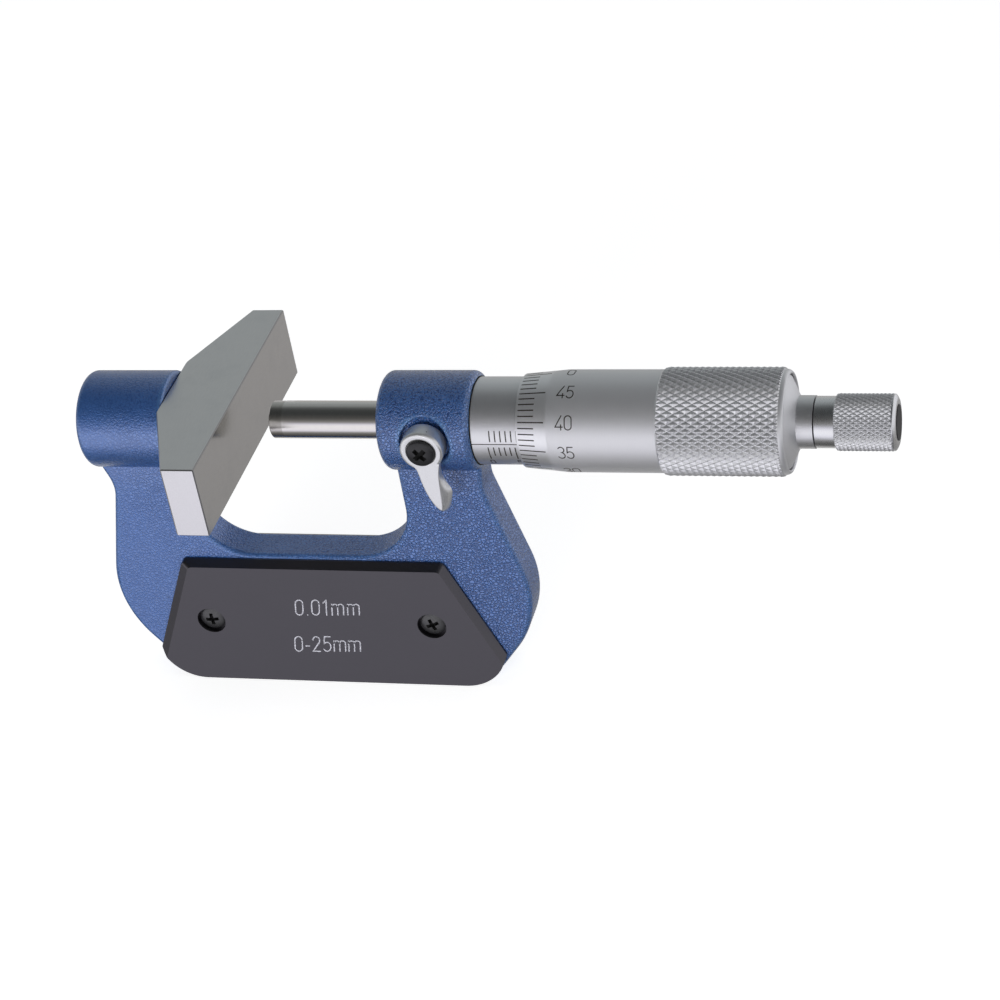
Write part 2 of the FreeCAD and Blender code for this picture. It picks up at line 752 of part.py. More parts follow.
def make_lock_lever():
    body = new_body("lock_lever", lock_at)
    hub = sketch_on(body, "hub_circle", "XZ_Plane", S.lever_back)
    circle_at(hub, 0, 0, S.lever_hub_radius)
    disc = extruded(body, "hub", hub, S.lever_thickness)
    rim = edges_where(disc, lambda edge: near(edge.BoundBox.YMax, -lever_front.value))
    dressed(body, "hub_rim", "Fillet", disc, rim, S.lever_round)
    root_left, root_right = (-S.arm_root_left, -S.arm_root), (S.arm_root_right, -S.arm_root)
    left = (-S.arm_left, -S.arm_left_depth)
    start = (S.arm_ridge, -S.thumb_start)
    # the arm's front face is narrow and its back, clear of the boss, is wide for the thumb
    front = sketch_on(body, "arm_front", "XZ_Plane", lever_front)
    outline(front, [
        root_left, left, (S.arm_tip, -S.arm_length, S.arm_bow, LEFT_TURN),
        (S.arm_ridge, -S.arm_ridge_end), (S.arm_ridge, -S.thumb_low_depth),
        (S.arm_ridge, -S.thumb_reach_depth), start, root_right])
    back = sketch_on(body, "arm_back", "XZ_Plane", S.boss_radius + S.arm_clearance)
    outline(back, [
        root_left, left, (S.thumb_tip, -S.thumb_length, S.arm_bow, LEFT_TURN),
        (S.thumb_low, -S.thumb_low_depth), (S.thumb_reach, -S.thumb_reach_depth),
        (S.thumb_high, -S.thumb_high_depth), start, root_right])
    arm = body.newObject("PartDesign::AdditiveLoft", "arm")
    arm.Profile = back
    arm.Sections = [front]
    arm.Ruled = True
    bore = sketch_on(body, "hub_bore_circle", "XZ_Plane", lever_front + OVERRUN)
    circle_at(bore, 0, 0, S.lock_spigot_radius + S.seat_gap)
    extruded(body, "hub_bore", bore, S.lever_thickness + OVERRUN * 2, kind="Pocket")


def make_domed_screw(body, shank_end, seat, shank_radius, head_radius, rim, height):
    """A screw turned about Y with a spherical dome on its head, which faces -Y."""
    dome = height - rim
    dome_radius = (head_radius * head_radius + dome * dome) / (dome * 2)
    revolved(body, body.Label + "_turned", [[
        (0, -shank_end), (shank_radius, -shank_end), (shank_radius, -seat),
        (head_radius, -seat), (head_radius, -seat - rim),
        (0, -seat - height, dome_radius, RIGHT_TURN)]],
        plane="XY_Plane", axis="V_Axis")


def make_lock_stud():
    body = new_body("lock_stud", lock_at)
    collar_bottom = S.lock_recess_floor + S.collar_gap
    hole = S.lock_shank_radius + S.seat_gap
    spigot_end = lever_front - S.collar_gap
    hole_floor = S.lock_recess_floor - S.lock_hole_spare
    revolved(body, "stud_turned", [[
        (0, -stud_end), (S.lock_stud_radius, -stud_end), (S.lock_stud_radius, -collar_bottom),
        (S.lock_stud_collar, -collar_bottom), (S.lock_stud_collar, -S.lever_back),
        (S.lock_spigot_radius, -S.lever_back), (S.lock_spigot_radius, -spigot_end),
        (hole, -spigot_end), (hole, -hole_floor), (0, -hole_floor)]],
        plane="XY_Plane", axis="V_Axis")
    screw = new_body("lock_screw", lock_at)
    make_domed_screw(screw, S.lock_recess_floor, lever_front, S.lock_shank_radius,
                     S.lock_head_radius, S.lock_head_rim, S.lock_head_height)
    plug = new_body("lock_plug", lock_at)
    plug_end = stud_end - S.seat_gap
    revolved(plug, "plug_turned", [[
        (0, -plug_start), (S.lock_plug_radius, -plug_start), (S.lock_plug_radius, -plug_end),
        (0, -plug_end)]],
        plane="XY_Plane", axis="V_Axis")


# Grip plates: black plates on both faces of the web, bevelled at the top and the slanted ends
def make_grip_plate(label, side):
    body = new_body(label, {"x": S.plate_middle}, half_turn=side > 0)
    half, low_half = S.plate_half_width, S.plate_slope_half_width
    foot_half = low_half - S.plate_foot_inset
    side_top = S.foot_depth - S.plate_foot_round + S.plate_side_tuck
    face = sketch_on(body, label + "_outline", "XZ_Plane", web_half)
    feet = [(-foot_half, -S.foot_depth), (foot_half, -S.foot_depth)]
    tops = [(-half, -S.plate_top_depth), (half, -S.plate_top_depth)]
    outline(face, [
        tops[0], (-low_half, -side_top), feet[0],
        feet[1], (low_half, -side_top), tops[1]])
    pad = extruded(body, label + "_pad", face, S.plate_thickness)
    plate = rounded_corner(body, pad, label + "_foot_round", feet, S.plate_foot_round)
    outer = web_half + S.plate_thickness

    # the bevel runs along the top edge and both slanted ends of the outer face
    def bevelled(edge):
        ends = [vertex.Point for vertex in edge.Vertexes]
        outside = all(near(abs(end.y), outer.value) for end in ends)
        high = all(end.z > -side_top.value - 0.001 for end in ends)
        return outside and high and edge.Curve.TypeId == "Part::GeomLine"
    bevel = dressed(body, label + "_bevel", "Chamfer", plate, edges_where(plate, bevelled),
                    S.plate_bevel)
    bevel.ChamferType = "Two distances"
    bevel.setExpression("Size2", S.plate_bevel_depth.formula)

    # the mitred corners at the top are rounded through the bevel
    def at_top_corner(edge):
        ends = [vertex.Point for vertex in edge.Vertexes]
        return any(all(math.hypot(end.x - x.value, end.z - z.value) < corner_reach
                       for end in ends) for x, z in tops)
    corner_reach = S.plate_bevel_depth.value * 2
    dressed(body, label + "_top_round", "Fillet", bevel, edges_where(bevel, at_top_corner),
            S.plate_top_round)

    recess = sketch_on(body, label + "_recess_circles", "XZ_Plane", outer)
    hole = sketch_on(body, label + "_hole_circles", "XZ_Plane", outer)
    offset = (S.plate_screw_middle - S.plate_middle) * -side
    for end in (-1, 1):
        place = (offset + S.plate_screw_spread * end, -S.plate_screw_depth)
        circle_at(recess, *place, S.plate_recess_radius)
        circle_at(hole, *place, S.plate_shank_radius + S.running_gap)
    extruded(body, label + "_recess", recess, S.plate_recess_depth, kind="Pocket")
    extruded(body, label + "_holes", hole, S.plate_thickness + OVERRUN, kind="Pocket")


def make_plate_screws():
    floor = web_half + S.plate_thickness - S.plate_recess_depth
    for face in ("front", "rear"):
        for end_name, end in (("left", -1), ("right", 1)):
            across = S.plate_screw_middle + S.plate_screw_spread * end
            body = new_body("%s_plate_screw_%s" % (face, end_name),
                            {"x": across, "z": -S.plate_screw_depth}, half_turn=face == "rear")
            make_domed_screw(body, floor - S.plate_shank_length, floor, S.plate_shank_radius,
                             S.plate_head_radius, S.plate_head_rim, S.plate_head_height)


make_frame()
make_anvil_bar()
make_spindle()
make_guide_sleeve()
make_adjusting_nut()
make_scale_sleeve()
make_thimble()
make_thimble_cap()
make_ratchet_body()
make_click_disc()
make_ratchet_spring()
make_ratchet_screw()
make_ratchet_knob()
make_lock_lever()
make_lock_stud()
make_grip_plate("front_grip_plate", -1)
make_grip_plate("rear_grip_plate", 1)
make_plate_screws()
doc.recompute()

# Every feature is sound and every cut removes something, or nothing is written
faults = []
for item in doc.Objects:
    if "Invalid" in item.State or "Error" in item.State:
        faults.append("%s: %s" % (item.Name, item.State))
    if item.TypeId in ("PartDesign::Pocket", "PartDesign::Groove"):
        removed = item.BaseFeature.Shape.Volume - item.Shape.Volume
        if removed < SMALLEST_CUT:
            faults.append("%s cuts nothing" % item.Name)
for node in nodes:
    if node.Shape.isNull() or not node.Shape.isValid() or node.Shape.Volume <= 0:
        faults.append("%s has no sound shape" % node.Label)
if faults:
    raise RuntimeError("; ".join(faults))

os.makedirs("parts", exist_ok=True)
for node in nodes:
    node.Shape.exportStep(os.path.join("parts", node.Label + ".step"))
print("wrote %d parts" % len(nodes))
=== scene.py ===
import math

import bmesh
import bpy
from mathutils import Matrix, Vector


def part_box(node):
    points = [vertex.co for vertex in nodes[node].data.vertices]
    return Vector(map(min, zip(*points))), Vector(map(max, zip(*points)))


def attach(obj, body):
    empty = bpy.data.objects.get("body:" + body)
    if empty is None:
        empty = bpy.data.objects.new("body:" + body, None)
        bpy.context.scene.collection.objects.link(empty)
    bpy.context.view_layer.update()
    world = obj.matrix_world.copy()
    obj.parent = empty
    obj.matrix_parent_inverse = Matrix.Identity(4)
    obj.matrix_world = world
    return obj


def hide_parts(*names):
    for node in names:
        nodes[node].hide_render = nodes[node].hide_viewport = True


# The looks of an anvil micrometer. Sizes are in millimetres and become metres in the meshes.
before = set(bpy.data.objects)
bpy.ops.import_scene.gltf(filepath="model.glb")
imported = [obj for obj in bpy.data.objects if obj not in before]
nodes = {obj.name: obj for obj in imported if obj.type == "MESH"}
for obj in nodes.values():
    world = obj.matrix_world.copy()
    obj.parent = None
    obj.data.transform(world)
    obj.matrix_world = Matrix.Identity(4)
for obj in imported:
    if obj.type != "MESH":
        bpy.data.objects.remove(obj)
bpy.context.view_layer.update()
scene = bpy.context.scene

MM = 0.001
PITCH = 0.5
DIVISIONS = 50
RANGE_MM = 25


def box_mm(node):
    low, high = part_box(node)
    return [value / MM for value in low], [value / MM for value in high]


# Places from the frame
thimble_low, thimble_high = box_mm("thimble")
knob_low, knob_high = box_mm("ratchet_knob")
disc_low = box_mm("knob_end_disc")[0]
sleeve_low, sleeve_high = box_mm("scale_sleeve")
plate_low = box_mm("front_grip_plate")[0]
lever_low, lever_high = box_mm("lock_lever")
LEVER_X, LEVER_Z = 36.75, 0.6
HUB_RADIUS = 4.0
foot_level = plate_low[2]
sleeve_radius = sleeve_high[2]


# Mesh helpers
def piece(name, points, faces, body, material, replaced=(), sharp=30.0):
    """A mesh object from points in millimetres, closed and facing out."""
    mesh = bpy.data.meshes.new(name)
    mesh.from_pydata([(x * MM, y * MM, z * MM) for x, y, z in points], [], faces)
    return dressed(name, mesh, body, material, replaced, sharp)


def dressed(name, mesh, body, material, replaced=(), sharp=30.0):
    """Links a mesh as a piece, smooth but for edges sharper than an angle."""
    work = bmesh.new()
    work.from_mesh(mesh)
    bmesh.ops.recalc_face_normals(work, faces=work.faces)
    limit = math.radians(sharp)
    for face in work.faces:
        face.smooth = True
    for edge in work.edges:
        edge.smooth = edge.calc_face_angle(0.0) < limit
    work.to_mesh(mesh)
    work.free()
    mesh.materials.clear()
    mesh.materials.append(material)
    thing = bpy.data.objects.new(name, mesh)
    scene.collection.objects.link(thing)
    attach(thing, body)
    if replaced:
        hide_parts(*replaced)
    return thing


def lathe(rings, around):
    """Rings about the X axis, joined in a closed loop. A ring is (x, radii, half step)."""
    points = []
    for x, radii, shifted in rings:
        for number in range(around):
            angle = (number + (0.5 if shifted else 0.0)) * 2 * math.pi / around
            radius = radii[number] if isinstance(radii, list) else radii
            points.append((x, -radius * math.cos(angle), radius * math.sin(angle)))
    faces = []
    for index in range(len(rings)):
        after = (index + 1) % len(rings)
        a, b = index * around, after * around
        turn_a, turn_b = rings[index][2], rings[after][2]
        for number in range(around):
            following = (number + 1) % around
            if turn_a == turn_b:
                faces.append((a + number, a + following, b + following, b + number))
            elif turn_b:
                faces.append((a + number, a + following, b + number))
                faces.append((b + number, a + following, b + following))
            else:
                faces.append((a + number, b + following, b + number))
                faces.append((a + number, a + following, b + following))
    return points, faces


class Knurl:
    """A diamond knurl: two families of V grooves wound left and right round a cylinder."""

    def __init__(self, start, end, radius, pitch, grooves, depth, fineness):
        self.grooves = grooves
        self.radius = radius
        self.depth = depth
        self.around = grooves * fineness
        self.count = 2 * round((end - start) * fineness / pitch)
        self.start = start
        self.step = (end - start) / self.count
        self.pitch = self.step * 2 * fineness

    def height(self, x, angle):
        """How far a point of the surface stands below the crests."""
        turn = self.grooves * angle / (2 * math.pi)
        along = (x - self.start) / self.pitch
        left, right = turn + along, turn - along
        rise = 2 * min(abs(left - round(left)), abs(right - round(right)))
        return self.depth * (1 - min(1.0, rise * 1.15))

    def rings(self, limit):
        """Rings of the knurl, held under the profile radius that limit gives."""
        made = []
        for number in range(self.count + 1):
            x = self.start + number * self.step
            shifted = number % 2 == 1
            cap = limit(x)
            radii = []
            for place in range(self.around):
                angle = (place + (0.5 if shifted else 0.0)) * 2 * math.pi / self.around
                radii.append(min(cap, self.radius - self.height(x, angle)))
            made.append((x, radii, shifted))
        return made


# Strokes of figures and lines, laid on a surface as thin inlays
def arc(x, y, across, up, start, end, steps=10):
    """Points of an elliptical arc, with angles in degrees."""
    return [(x + across * math.cos(math.radians(start + (end - start) * k / steps)),
             y + up * math.sin(math.radians(start + (end - start) * k / steps)))
            for k in range(steps + 1)]


def glyphs():
    """Single-stroke figures, one unit high: name, width, strokes."""
    zero = (arc(0.25, 0.75, 0.25, 0.25, 0, 180) + arc(0.25, 0.25, 0.25, 0.25, 180, 360)
            + [(0.50, 0.75)])
    three = (arc(0.25, 0.765, 0.225, 0.235, 150, -80)
             + arc(0.24, 0.27, 0.26, 0.27, 85, -150))
    five = ([(0.47, 1.0), (0.09, 1.0), (0.045, 0.52)]
            + arc(0.24, 0.31, 0.26, 0.31, 128, -148, 14))
    two = arc(0.25, 0.74, 0.23, 0.26, 170, -38) + [(0.01, 0.0), (0.50, 0.0)]
    hump = arc(0.19, 0.55, 0.19, 0.17, 180, 0, 8) + [(0.38, 0.0)]
    second = arc(0.575, 0.55, 0.195, 0.17, 180, 0, 8) + [(0.77, 0.0)]
    return {
        "0": (0.50, [zero]),
        "1": (0.30, [[(0.0, 0.80), (0.20, 1.0), (0.20, 0.0)]]),
        "2": (0.50, [two]),
        "3": (0.50, [three]),
        "4": (0.54, [[(0.44, 1.0), (0.0, 0.2), (0.54, 0.2)], [(0.42, 0.36), (0.42, 0.0)]]),
        "5": (0.50, [five]),
        ".": (0.04, [[(0.01, 0.0), (0.03, 0.0)]]),
        "-": (0.26, [[(0.0, 0.36), (0.26, 0.36)]]),
        "m": (0.77, [[(0.0, 0.72), (0.0, 0.0)], hump, second]),
    }


FIGURES = glyphs()


def worded(text, height, gap, narrowed=1.0):
    """Strokes of a text about its middle."""
    width = sum(FIGURES[sign][0] for sign in text) * narrowed + gap * (len(text) - 1)
    strokes, left = [], -width / 2
    for sign in text:
        across, lines = FIGURES[sign]
        for line in lines:
            strokes.append([((left + x * narrowed) * height, (y - 0.5) * height)
                            for x, y in line])
        left += across * narrowed + gap
    return strokes


def resampled(line, step):
    """The same line with points no further apart than step."""
    made = [line[0]]
    for (x0, y0), (x1, y1) in zip(line, line[1:]):
        count = max(1, math.ceil(math.hypot(x1 - x0, y1 - y0) / step))
        made += [(x0 + (x1 - x0) * k / count, y0 + (y1 - y0) * k / count)
                 for k in range(1, count + 1)]
    return made


def ribbon(line, width):
    """A flat strip with round ends along a line: points, faces and its rim in order."""
    faces, sides = [], []
    last = len(line) - 1
    half = width / 2
    for index, (x, y) in enumerate(line):
        before, after = line[max(index - 1, 0)], line[min(index + 1, last)]
        into = Vector((x - before[0], y - before[1]))
        out = Vector((after[0] - x, after[1] - y))
        into = into.normalized() if into.length > 0 else out.normalized()
        out = out.normalized() if out.length > 0 else into
        mean = (into + out).normalized() if (into + out).length > 0 else into
        reach = half / max(0.5, mean.dot(into))
        sides.append((Vector((x, y)), Vector((-mean.y, mean.x)) * reach, into, out))
    caps = 5
    start, end = sides[0], sides[-1]
    rim = [place + normal for place, normal, _, _ in sides]
    for step in range(1, caps):
        turn = -math.pi * step / caps
        rim.append(end[0] + Matrix.Rotation(turn, 2) @ (end[1].normalized() * half))
    rim += [place - normal for place, normal, _, _ in reversed(sides)]
    for step in range(1, caps):
        turn = math.pi - math.pi * step / caps
        rim.append(start[0] + Matrix.Rotation(turn, 2) @ (start[1].normalized() * half))
    points = [(point.x, point.y) for point in rim]
    count = last + 1
    for index in range(last):
        faces.append((index, index + 1, 2 * count + caps - 3 - index, 2 * count + caps - 2 - index))
    faces.append(tuple([last] + [count + k for k in range(caps - 1)] + [count + caps - 1]))
    faces.append(tuple([2 * count + caps - 2] + [2 * count + caps - 1 + k for k in range(caps - 1)]
                       + [0]))
    return points, faces


INLAY_PROUD, INLAY_DEEP = 0.012, 0.03
INLAY_STEP = 0.3


def inlaid(name, strokes, place, body, material):
    """Strokes as closed thin slabs. place(u, v, lift) puts a point on the surface."""
    points, faces = [], []
    for line, width in strokes:
        flat, cells = ribbon(resampled(line, INLAY_STEP), width)
        first, count = len(points), len(flat)
        points += [place(u, v, INLAY_PROUD) for u, v in flat]
        points += [place(u, v, -INLAY_DEEP) for u, v in flat]
        for cell in cells:
            faces.append(tuple(first + k for k in cell))
            faces.append(tuple(first + count + k for k in reversed(cell)))
        for k in range(count):
            after = (k + 1) % count
            faces.append((first + k, first + count + k, first + count + after, first + after))
    return piece(name, points, faces, body, material)


# Shader helpers
def material(name, base, metallic, roughness, **extra):
    """A principled material and a function that adds nodes to it."""
    made = bpy.data.materials.new(name)
    made.use_nodes = True
    tree = made.node_tree
    shader = tree.nodes["Principled BSDF"]
    shader.inputs["Base Color"].default_value = (*base, 1)
    shader.inputs["Metallic"].default_value = metallic
    shader.inputs["Roughness"].default_value = roughness
    for socket, value in extra.items():
        shader.inputs[socket.replace("_", " ")].default_value = value
    return made, tree, shader


def add(tree, kind, settings=None, **inputs):
    """A shader node with its settings and inputs, each a value or another node's output."""
    made = tree.nodes.new("ShaderNode" + kind)
    for key, value in (settings or {}).items():
        setattr(made, key, value)
    for key, value in inputs.items():
        socket = made.inputs[int(key[1:])] if key[0] == "i" and key[1:].isdigit() \
            else made.inputs[key.replace("_", " ")]
        if isinstance(value, bpy.types.NodeSocket):
            tree.links.new(value, socket)
        else:
            socket.default_value = value
    return made


def ramp(tree, factor, stops):
    """A colour ramp from (position, colour) stops."""
    made = add(tree, "ValToRGB", Fac=factor)
    band = made.color_ramp
    while len(band.elements) < len(stops):
        band.elements.new(0.5)
    for element, (position, colour) in zip(band.elements, stops):
        element.position = position
        element.color = (*colour, 1)
    return made.outputs["Color"]


def own_place(tree, stretch=(1, 1, 1)):
    """The piece's own coordinates in millimetres, stretched along each axis."""
    coordinates = tree.nodes.new("ShaderNodeTexCoord").outputs["Object"]
    scale = [1 / MM * value for value in stretch]
    return add(tree, "Mapping", Vector=coordinates, Scale=scale).outputs["Vector"]


def bumped(tree, shader, height, strength, distance):
    bump = add(tree, "Bump", Height=height, Strength=strength, Distance=distance * MM)
    tree.links.new(bump.outputs["Normal"], shader.inputs["Normal"])


def gap_shade(tree, reach, low, high):
    """One in the open and less where surfaces stand close together."""
    hidden = add(tree, "AmbientOcclusion", {"samples": 8}, Distance=reach * MM)
    return add(tree, "MapRange", Value=hidden.outputs["AO"], i1=low, i2=high, i3=0.0,
               i4=1.0).outputs["Result"]


def hammered_enamel():
    """Blue hammer-finish enamel: raised cells between darker veins, under a clear coat."""
    made, tree, shader = material("hammered_enamel", (0.052, 0.155, 0.465), 0.60, 0.40,
                                  Specular_IOR_Level=0.0, Coat_Roughness=0.09, Coat_IOR=2.1)
    place = own_place(tree)
    wander = add(tree, "TexNoise", Vector=place, Scale=1.7, Detail=3.0)
    offset = add(tree, "VectorMath", {"operation": "SUBTRACT"}, i0=wander.outputs["Color"],
                 i1=(0.5, 0.5, 0.5))
    pushed = add(tree, "VectorMath", {"operation": "MULTIPLY_ADD"}, i0=offset.outputs["Vector"],
                 i1=(0.7, 0.7, 0.7), i2=place)
    edge = add(tree, "TexVoronoi", {"feature": "DISTANCE_TO_EDGE"},
               Vector=pushed.outputs["Vector"], Scale=1.65)
    fine = add(tree, "TexNoise", Vector=place, Scale=2.4, Detail=3.0, Roughness=0.6)
    wear = add(tree, "MapRange", Value=fine.outputs["Fac"], i1=0.25, i2=0.75, i3=-0.05, i4=0.12)
    distance = add(tree, "Math", {"operation": "ADD"}, i0=edge.outputs["Distance"],
                   i1=wear.outputs["Result"])
    veined = ramp(tree, distance.outputs["Value"], [
        (0.0, (0.012, 0.038, 0.165)), (0.05, (0.027, 0.083, 0.28)), (0.11, (0.055, 0.163, 0.475)),
        (0.40, (0.070, 0.202, 0.57))])
    spot = add(tree, "SeparateXYZ", Vector=place)
    patch = add(tree, "TexNoise", Vector=place, Scale=0.09, Detail=2.0)
    drift = add(tree, "Math", {"operation": "MULTIPLY_ADD"}, i0=patch.outputs["Fac"], i1=30.0,
                i2=spot.outputs["X"])
    veins = add(tree, "MapRange", Value=drift.outputs[0], i1=-12.0, i2=34.0, i3=0.34, i4=1.0)
    tone = add(tree, "MixRGB", Fac=veins.outputs["Result"], Color1=(0.052, 0.157, 0.465, 1),
               Color2=veined).outputs["Color"]
    cloud = add(tree, "TexNoise", Vector=place, Scale=0.25, Detail=3.0)
    shade = ramp(tree, cloud.outputs["Fac"], [(0.3, (0.88, 0.90, 0.92)), (0.7, (1.0, 1.0, 1.0))])
    mixed = add(tree, "MixRGB", {"blend_type": "MULTIPLY"}, Fac=1.0, Color1=tone, Color2=shade)
    # Painted shade: the base colour falls to near black where surfaces stand close together, as in
    # the lock recess and the joints.
    gaps = gap_shade(tree, 1.1, 0.25, 0.62)
    painted_gap_shade = ramp(tree, gaps, [(0.0, (0.06, 0.08, 0.10)), (1.0, (1.0, 1.0, 1.0))])
    # Convex rims turn a lighter cyan blue: partly paint lying thinner on the edges, partly a
    # painted highlight where rounded rims catch the front light.
    within = add(tree, "AmbientOcclusion", {"samples": 6, "inside": True}, Distance=1.5 * MM)
    convex_rim_mask = add(tree, "MapRange", Value=within.outputs["AO"], i1=0.5, i2=0.85, i3=0.8, i4=0.0)
    thin_paint_and_highlight = add(tree, "MixRGB", Fac=convex_rim_mask.outputs["Result"], Color1=mixed.outputs["Color"],
               Color2=(0.15, 0.40, 0.78, 1))
    final = add(tree, "MixRGB", {"blend_type": "MULTIPLY"}, Fac=1.0,
                Color1=thin_paint_and_highlight.outputs["Color"], Color2=painted_gap_shade)
    tree.links.new(final.outputs["Color"], shader.inputs["Base Color"])
    lower = add(tree, "MapRange", Value=spot.outputs["Z"], i1=-15.0, i2=-10.0, i3=0.82, i4=1.0)
    open_coat = add(tree, "Math", {"operation": "MULTIPLY"}, i0=gaps, i1=lower.outputs["Result"])
    rise = add(tree, "MapRange", {"interpolation_type": "SMOOTHSTEP"},
               Value=distance.outputs["Value"], i1=0.0, i2=0.30, i3=0.0, i4=1.0)
    height = add(tree, "Math", {"operation": "MULTIPLY"}, i0=rise.outputs["Result"],
                 i1=veins.outputs["Result"])
    thick = add(tree, "MapRange", Value=height.outputs[0], i1=0.0, i2=0.4, i3=0.75, i4=1.08)
    coat = add(tree, "Math", {"operation": "MULTIPLY"}, i0=open_coat.outputs[0],
               i1=thick.outputs["Result"])
    tree.links.new(coat.outputs[0], shader.inputs["Coat Weight"])
    for strength, socket in ((0.8, "Normal"), (0.62, "Coat Normal")):
        bump = add(tree, "Bump", Height=height.outputs[0], Strength=strength, Distance=0.11 * MM)
        tree.links.new(bump.outputs["Normal"], shader.inputs[socket])
    return made


def brushed(name, base, roughness, stretch, contrast, bump, metallic=1.0, finer_to=None):
    """Metal with fine lines along its least stretched axis, finer up to a place on X."""
    made, tree, shader = material(name, base, metallic, roughness)
    lines = add(tree, "TexNoise", Vector=own_place(tree, stretch), Scale=1.0, Detail=4.0,
                Roughness=0.6)
    low = [value * (1 - contrast) for value in base]
    high = [min(1.0, value * (1 + contrast)) for value in base]
    tone = ramp(tree, lines.outputs["Fac"], [(0.25, low), (0.75, high)])
    tree.links.new(tone, shader.inputs["Base Color"])
    rough = add(tree, "MapRange", Value=lines.outputs["Fac"], i1=0.2, i2=0.8,
                i3=roughness * 0.85, i4=roughness * 1.15).outputs["Result"]
    if finer_to is not None:
        along = add(tree, "SeparateXYZ", Vector=own_place(tree)).outputs["X"]
        share = add(tree, "MapRange", Value=along, i1=finer_to - 0.1, i2=finer_to + 0.1,
                    i3=0.72, i4=1.0)
        rough = add(tree, "Math", {"operation": "MULTIPLY"}, i0=rough,
                    i1=share.outputs["Result"]).outputs[0]
    tree.links.new(rough, shader.inputs["Roughness"])
    bumped(tree, shader, lines.outputs["Fac"], bump, 0.01)
    return made


def grained(name, base, roughness, grain, contrast, bump, metallic=0.0, **extra):
    """A dull surface with an even fine grain."""
    made, tree, shader = material(name, base, metallic, roughness, **extra)
    place = own_place(tree)
    speck = add(tree, "TexNoise", Vector=place, Scale=grain, Detail=3.0)
    cloud = add(tree, "TexNoise", Vector=place, Scale=0.12, Detail=3.0)
    low = [value * (1 - contrast) for value in base]
    high = [value * (1 + contrast) for value in base]
    tone = ramp(tree, speck.outputs["Fac"], [(0.3, low), (0.7, high)])
    haze = ramp(tree, cloud.outputs["Fac"], [(0.35, (0.9, 0.9, 0.9)), (0.65, (1.06, 1.06, 1.06))])
    mixed = add(tree, "MixRGB", {"blend_type": "MULTIPLY"}, Fac=1.0, Color1=tone, Color2=haze)
    tree.links.new(mixed.outputs["Color"], shader.inputs["Base Color"])
    rough = add(tree, "MapRange", Value=speck.outputs["Fac"], i1=0.2, i2=0.8,
                i3=roughness * 0.9, i4=roughness * 1.1)
    tree.links.new(rough.outputs["Result"], shader.inputs["Roughness"])
    bumped(tree, shader, speck.outputs["Fac"], bump, 0.02)
    return made


def bar_steel():
    """Ground steel whose measuring face, the one towards +X, is lapped."""
    made, tree, shader = material("bar_steel", (0.72, 0.715, 0.71), 1.0, 0.34)
    place = own_place(tree, (5, 0.5, 5))
    lines = add(tree, "TexNoise", Vector=place, Scale=1.0, Detail=4.0, Roughness=0.6)
    tone = ramp(tree, lines.outputs["Fac"], [
        (0.25, (0.695, 0.69, 0.685)), (0.75, (0.745, 0.74, 0.735))])
    cloud = add(tree, "TexNoise", Vector=own_place(tree), Scale=0.13, Detail=5.0, Roughness=0.65)
    haze = ramp(tree, cloud.outputs["Fac"], [
        (0.30, (0.94, 0.945, 0.95)), (0.48, (0.99, 0.99, 0.99)), (0.7, (1.0, 1.0, 1.0))])
    mixed = add(tree, "MixRGB", {"blend_type": "MULTIPLY"}, Fac=1.0, Color1=tone, Color2=haze)
    # Painted shade: faces slanted between the top and the measuring face, leaning both to +X and to
    # +Z, have their base colour darkened to 0.4.
    facing = add(tree, "SeparateXYZ",
                 Vector=tree.nodes.new("ShaderNodeTexCoord").outputs["Normal"])
    slanted = add(tree, "Math", {"operation": "MULTIPLY"}, i0=facing.outputs["X"],
                  i1=facing.outputs["Z"])
    edges = ramp(tree, slanted.outputs[0], [(0.1, (1.0, 1.0, 1.0)), (0.35, (0.4, 0.4, 0.4))])
    bevel_shaded = add(tree, "MixRGB", {"blend_type": "MULTIPLY"}, Fac=1.0,
                 Color1=mixed.outputs["Color"], Color2=edges)
    tree.links.new(bevel_shaded.outputs["Color"], shader.inputs["Base Color"])
    lapped = add(tree, "MapRange", Value=facing.outputs["X"], i1=0.8, i2=0.95, i3=0.34, i4=0.16)
    ends = add(tree, "MapRange", Value=facing.outputs["Y"], i1=-0.95, i2=-0.8, i3=0.2, i4=1.0)
    least = add(tree, "Math", {"operation": "MINIMUM"}, i0=lapped.outputs["Result"],
                i1=ends.outputs["Result"])
    tree.links.new(least.outputs[0], shader.inputs["Roughness"])
    bumped(tree, shader, lines.outputs["Fac"], 0.10, 0.008)
    return made


CHROME = (0.79, 0.795, 0.805)
SATIN = (0.85, 0.855, 0.87)
STEEL = (0.72, 0.70, 0.675)
enamel = hammered_enamel()
ground = bar_steel()
polished = brushed("polished_spindle_steel", STEEL, 0.17, (9, 0.6, 0.6), 0.05, 0.1)
carbide = brushed("carbide", (0.56, 0.54, 0.51), 0.22, (9, 0.6, 0.6), 0.06, 0.1)
satin = brushed("satin_chrome", SATIN, 0.52, (7, 0.8, 0.8), 0.02, 0.08, 0.86)
barrel_satin = brushed("barrel_satin_chrome", SATIN, 0.52, (7, 0.8, 0.8), 0.02, 0.08, 0.86,
                       finer_to=59.5)
knurled = brushed("knurled_chrome", (0.85, 0.855, 0.87), 0.36, (5, 1.5, 1.5), 0.03, 0.08, 0.86)
collar_satin = brushed("collar_satin_chrome", CHROME, 0.40, (7, 0.8, 0.8), 0.02, 0.08, 0.95)
fine_satin = brushed("fine_satin_chrome", SATIN, 0.45, (7, 0.8, 0.8), 0.02, 0.08, 0.94)
bright = brushed("bright_chrome", CHROME, 0.29, (5, 1.5, 1.5), 0.03, 0.08)
turned = brushed("turned_steel", STEEL, 0.28, (9, 0.5, 0.5), 0.06, 0.15)
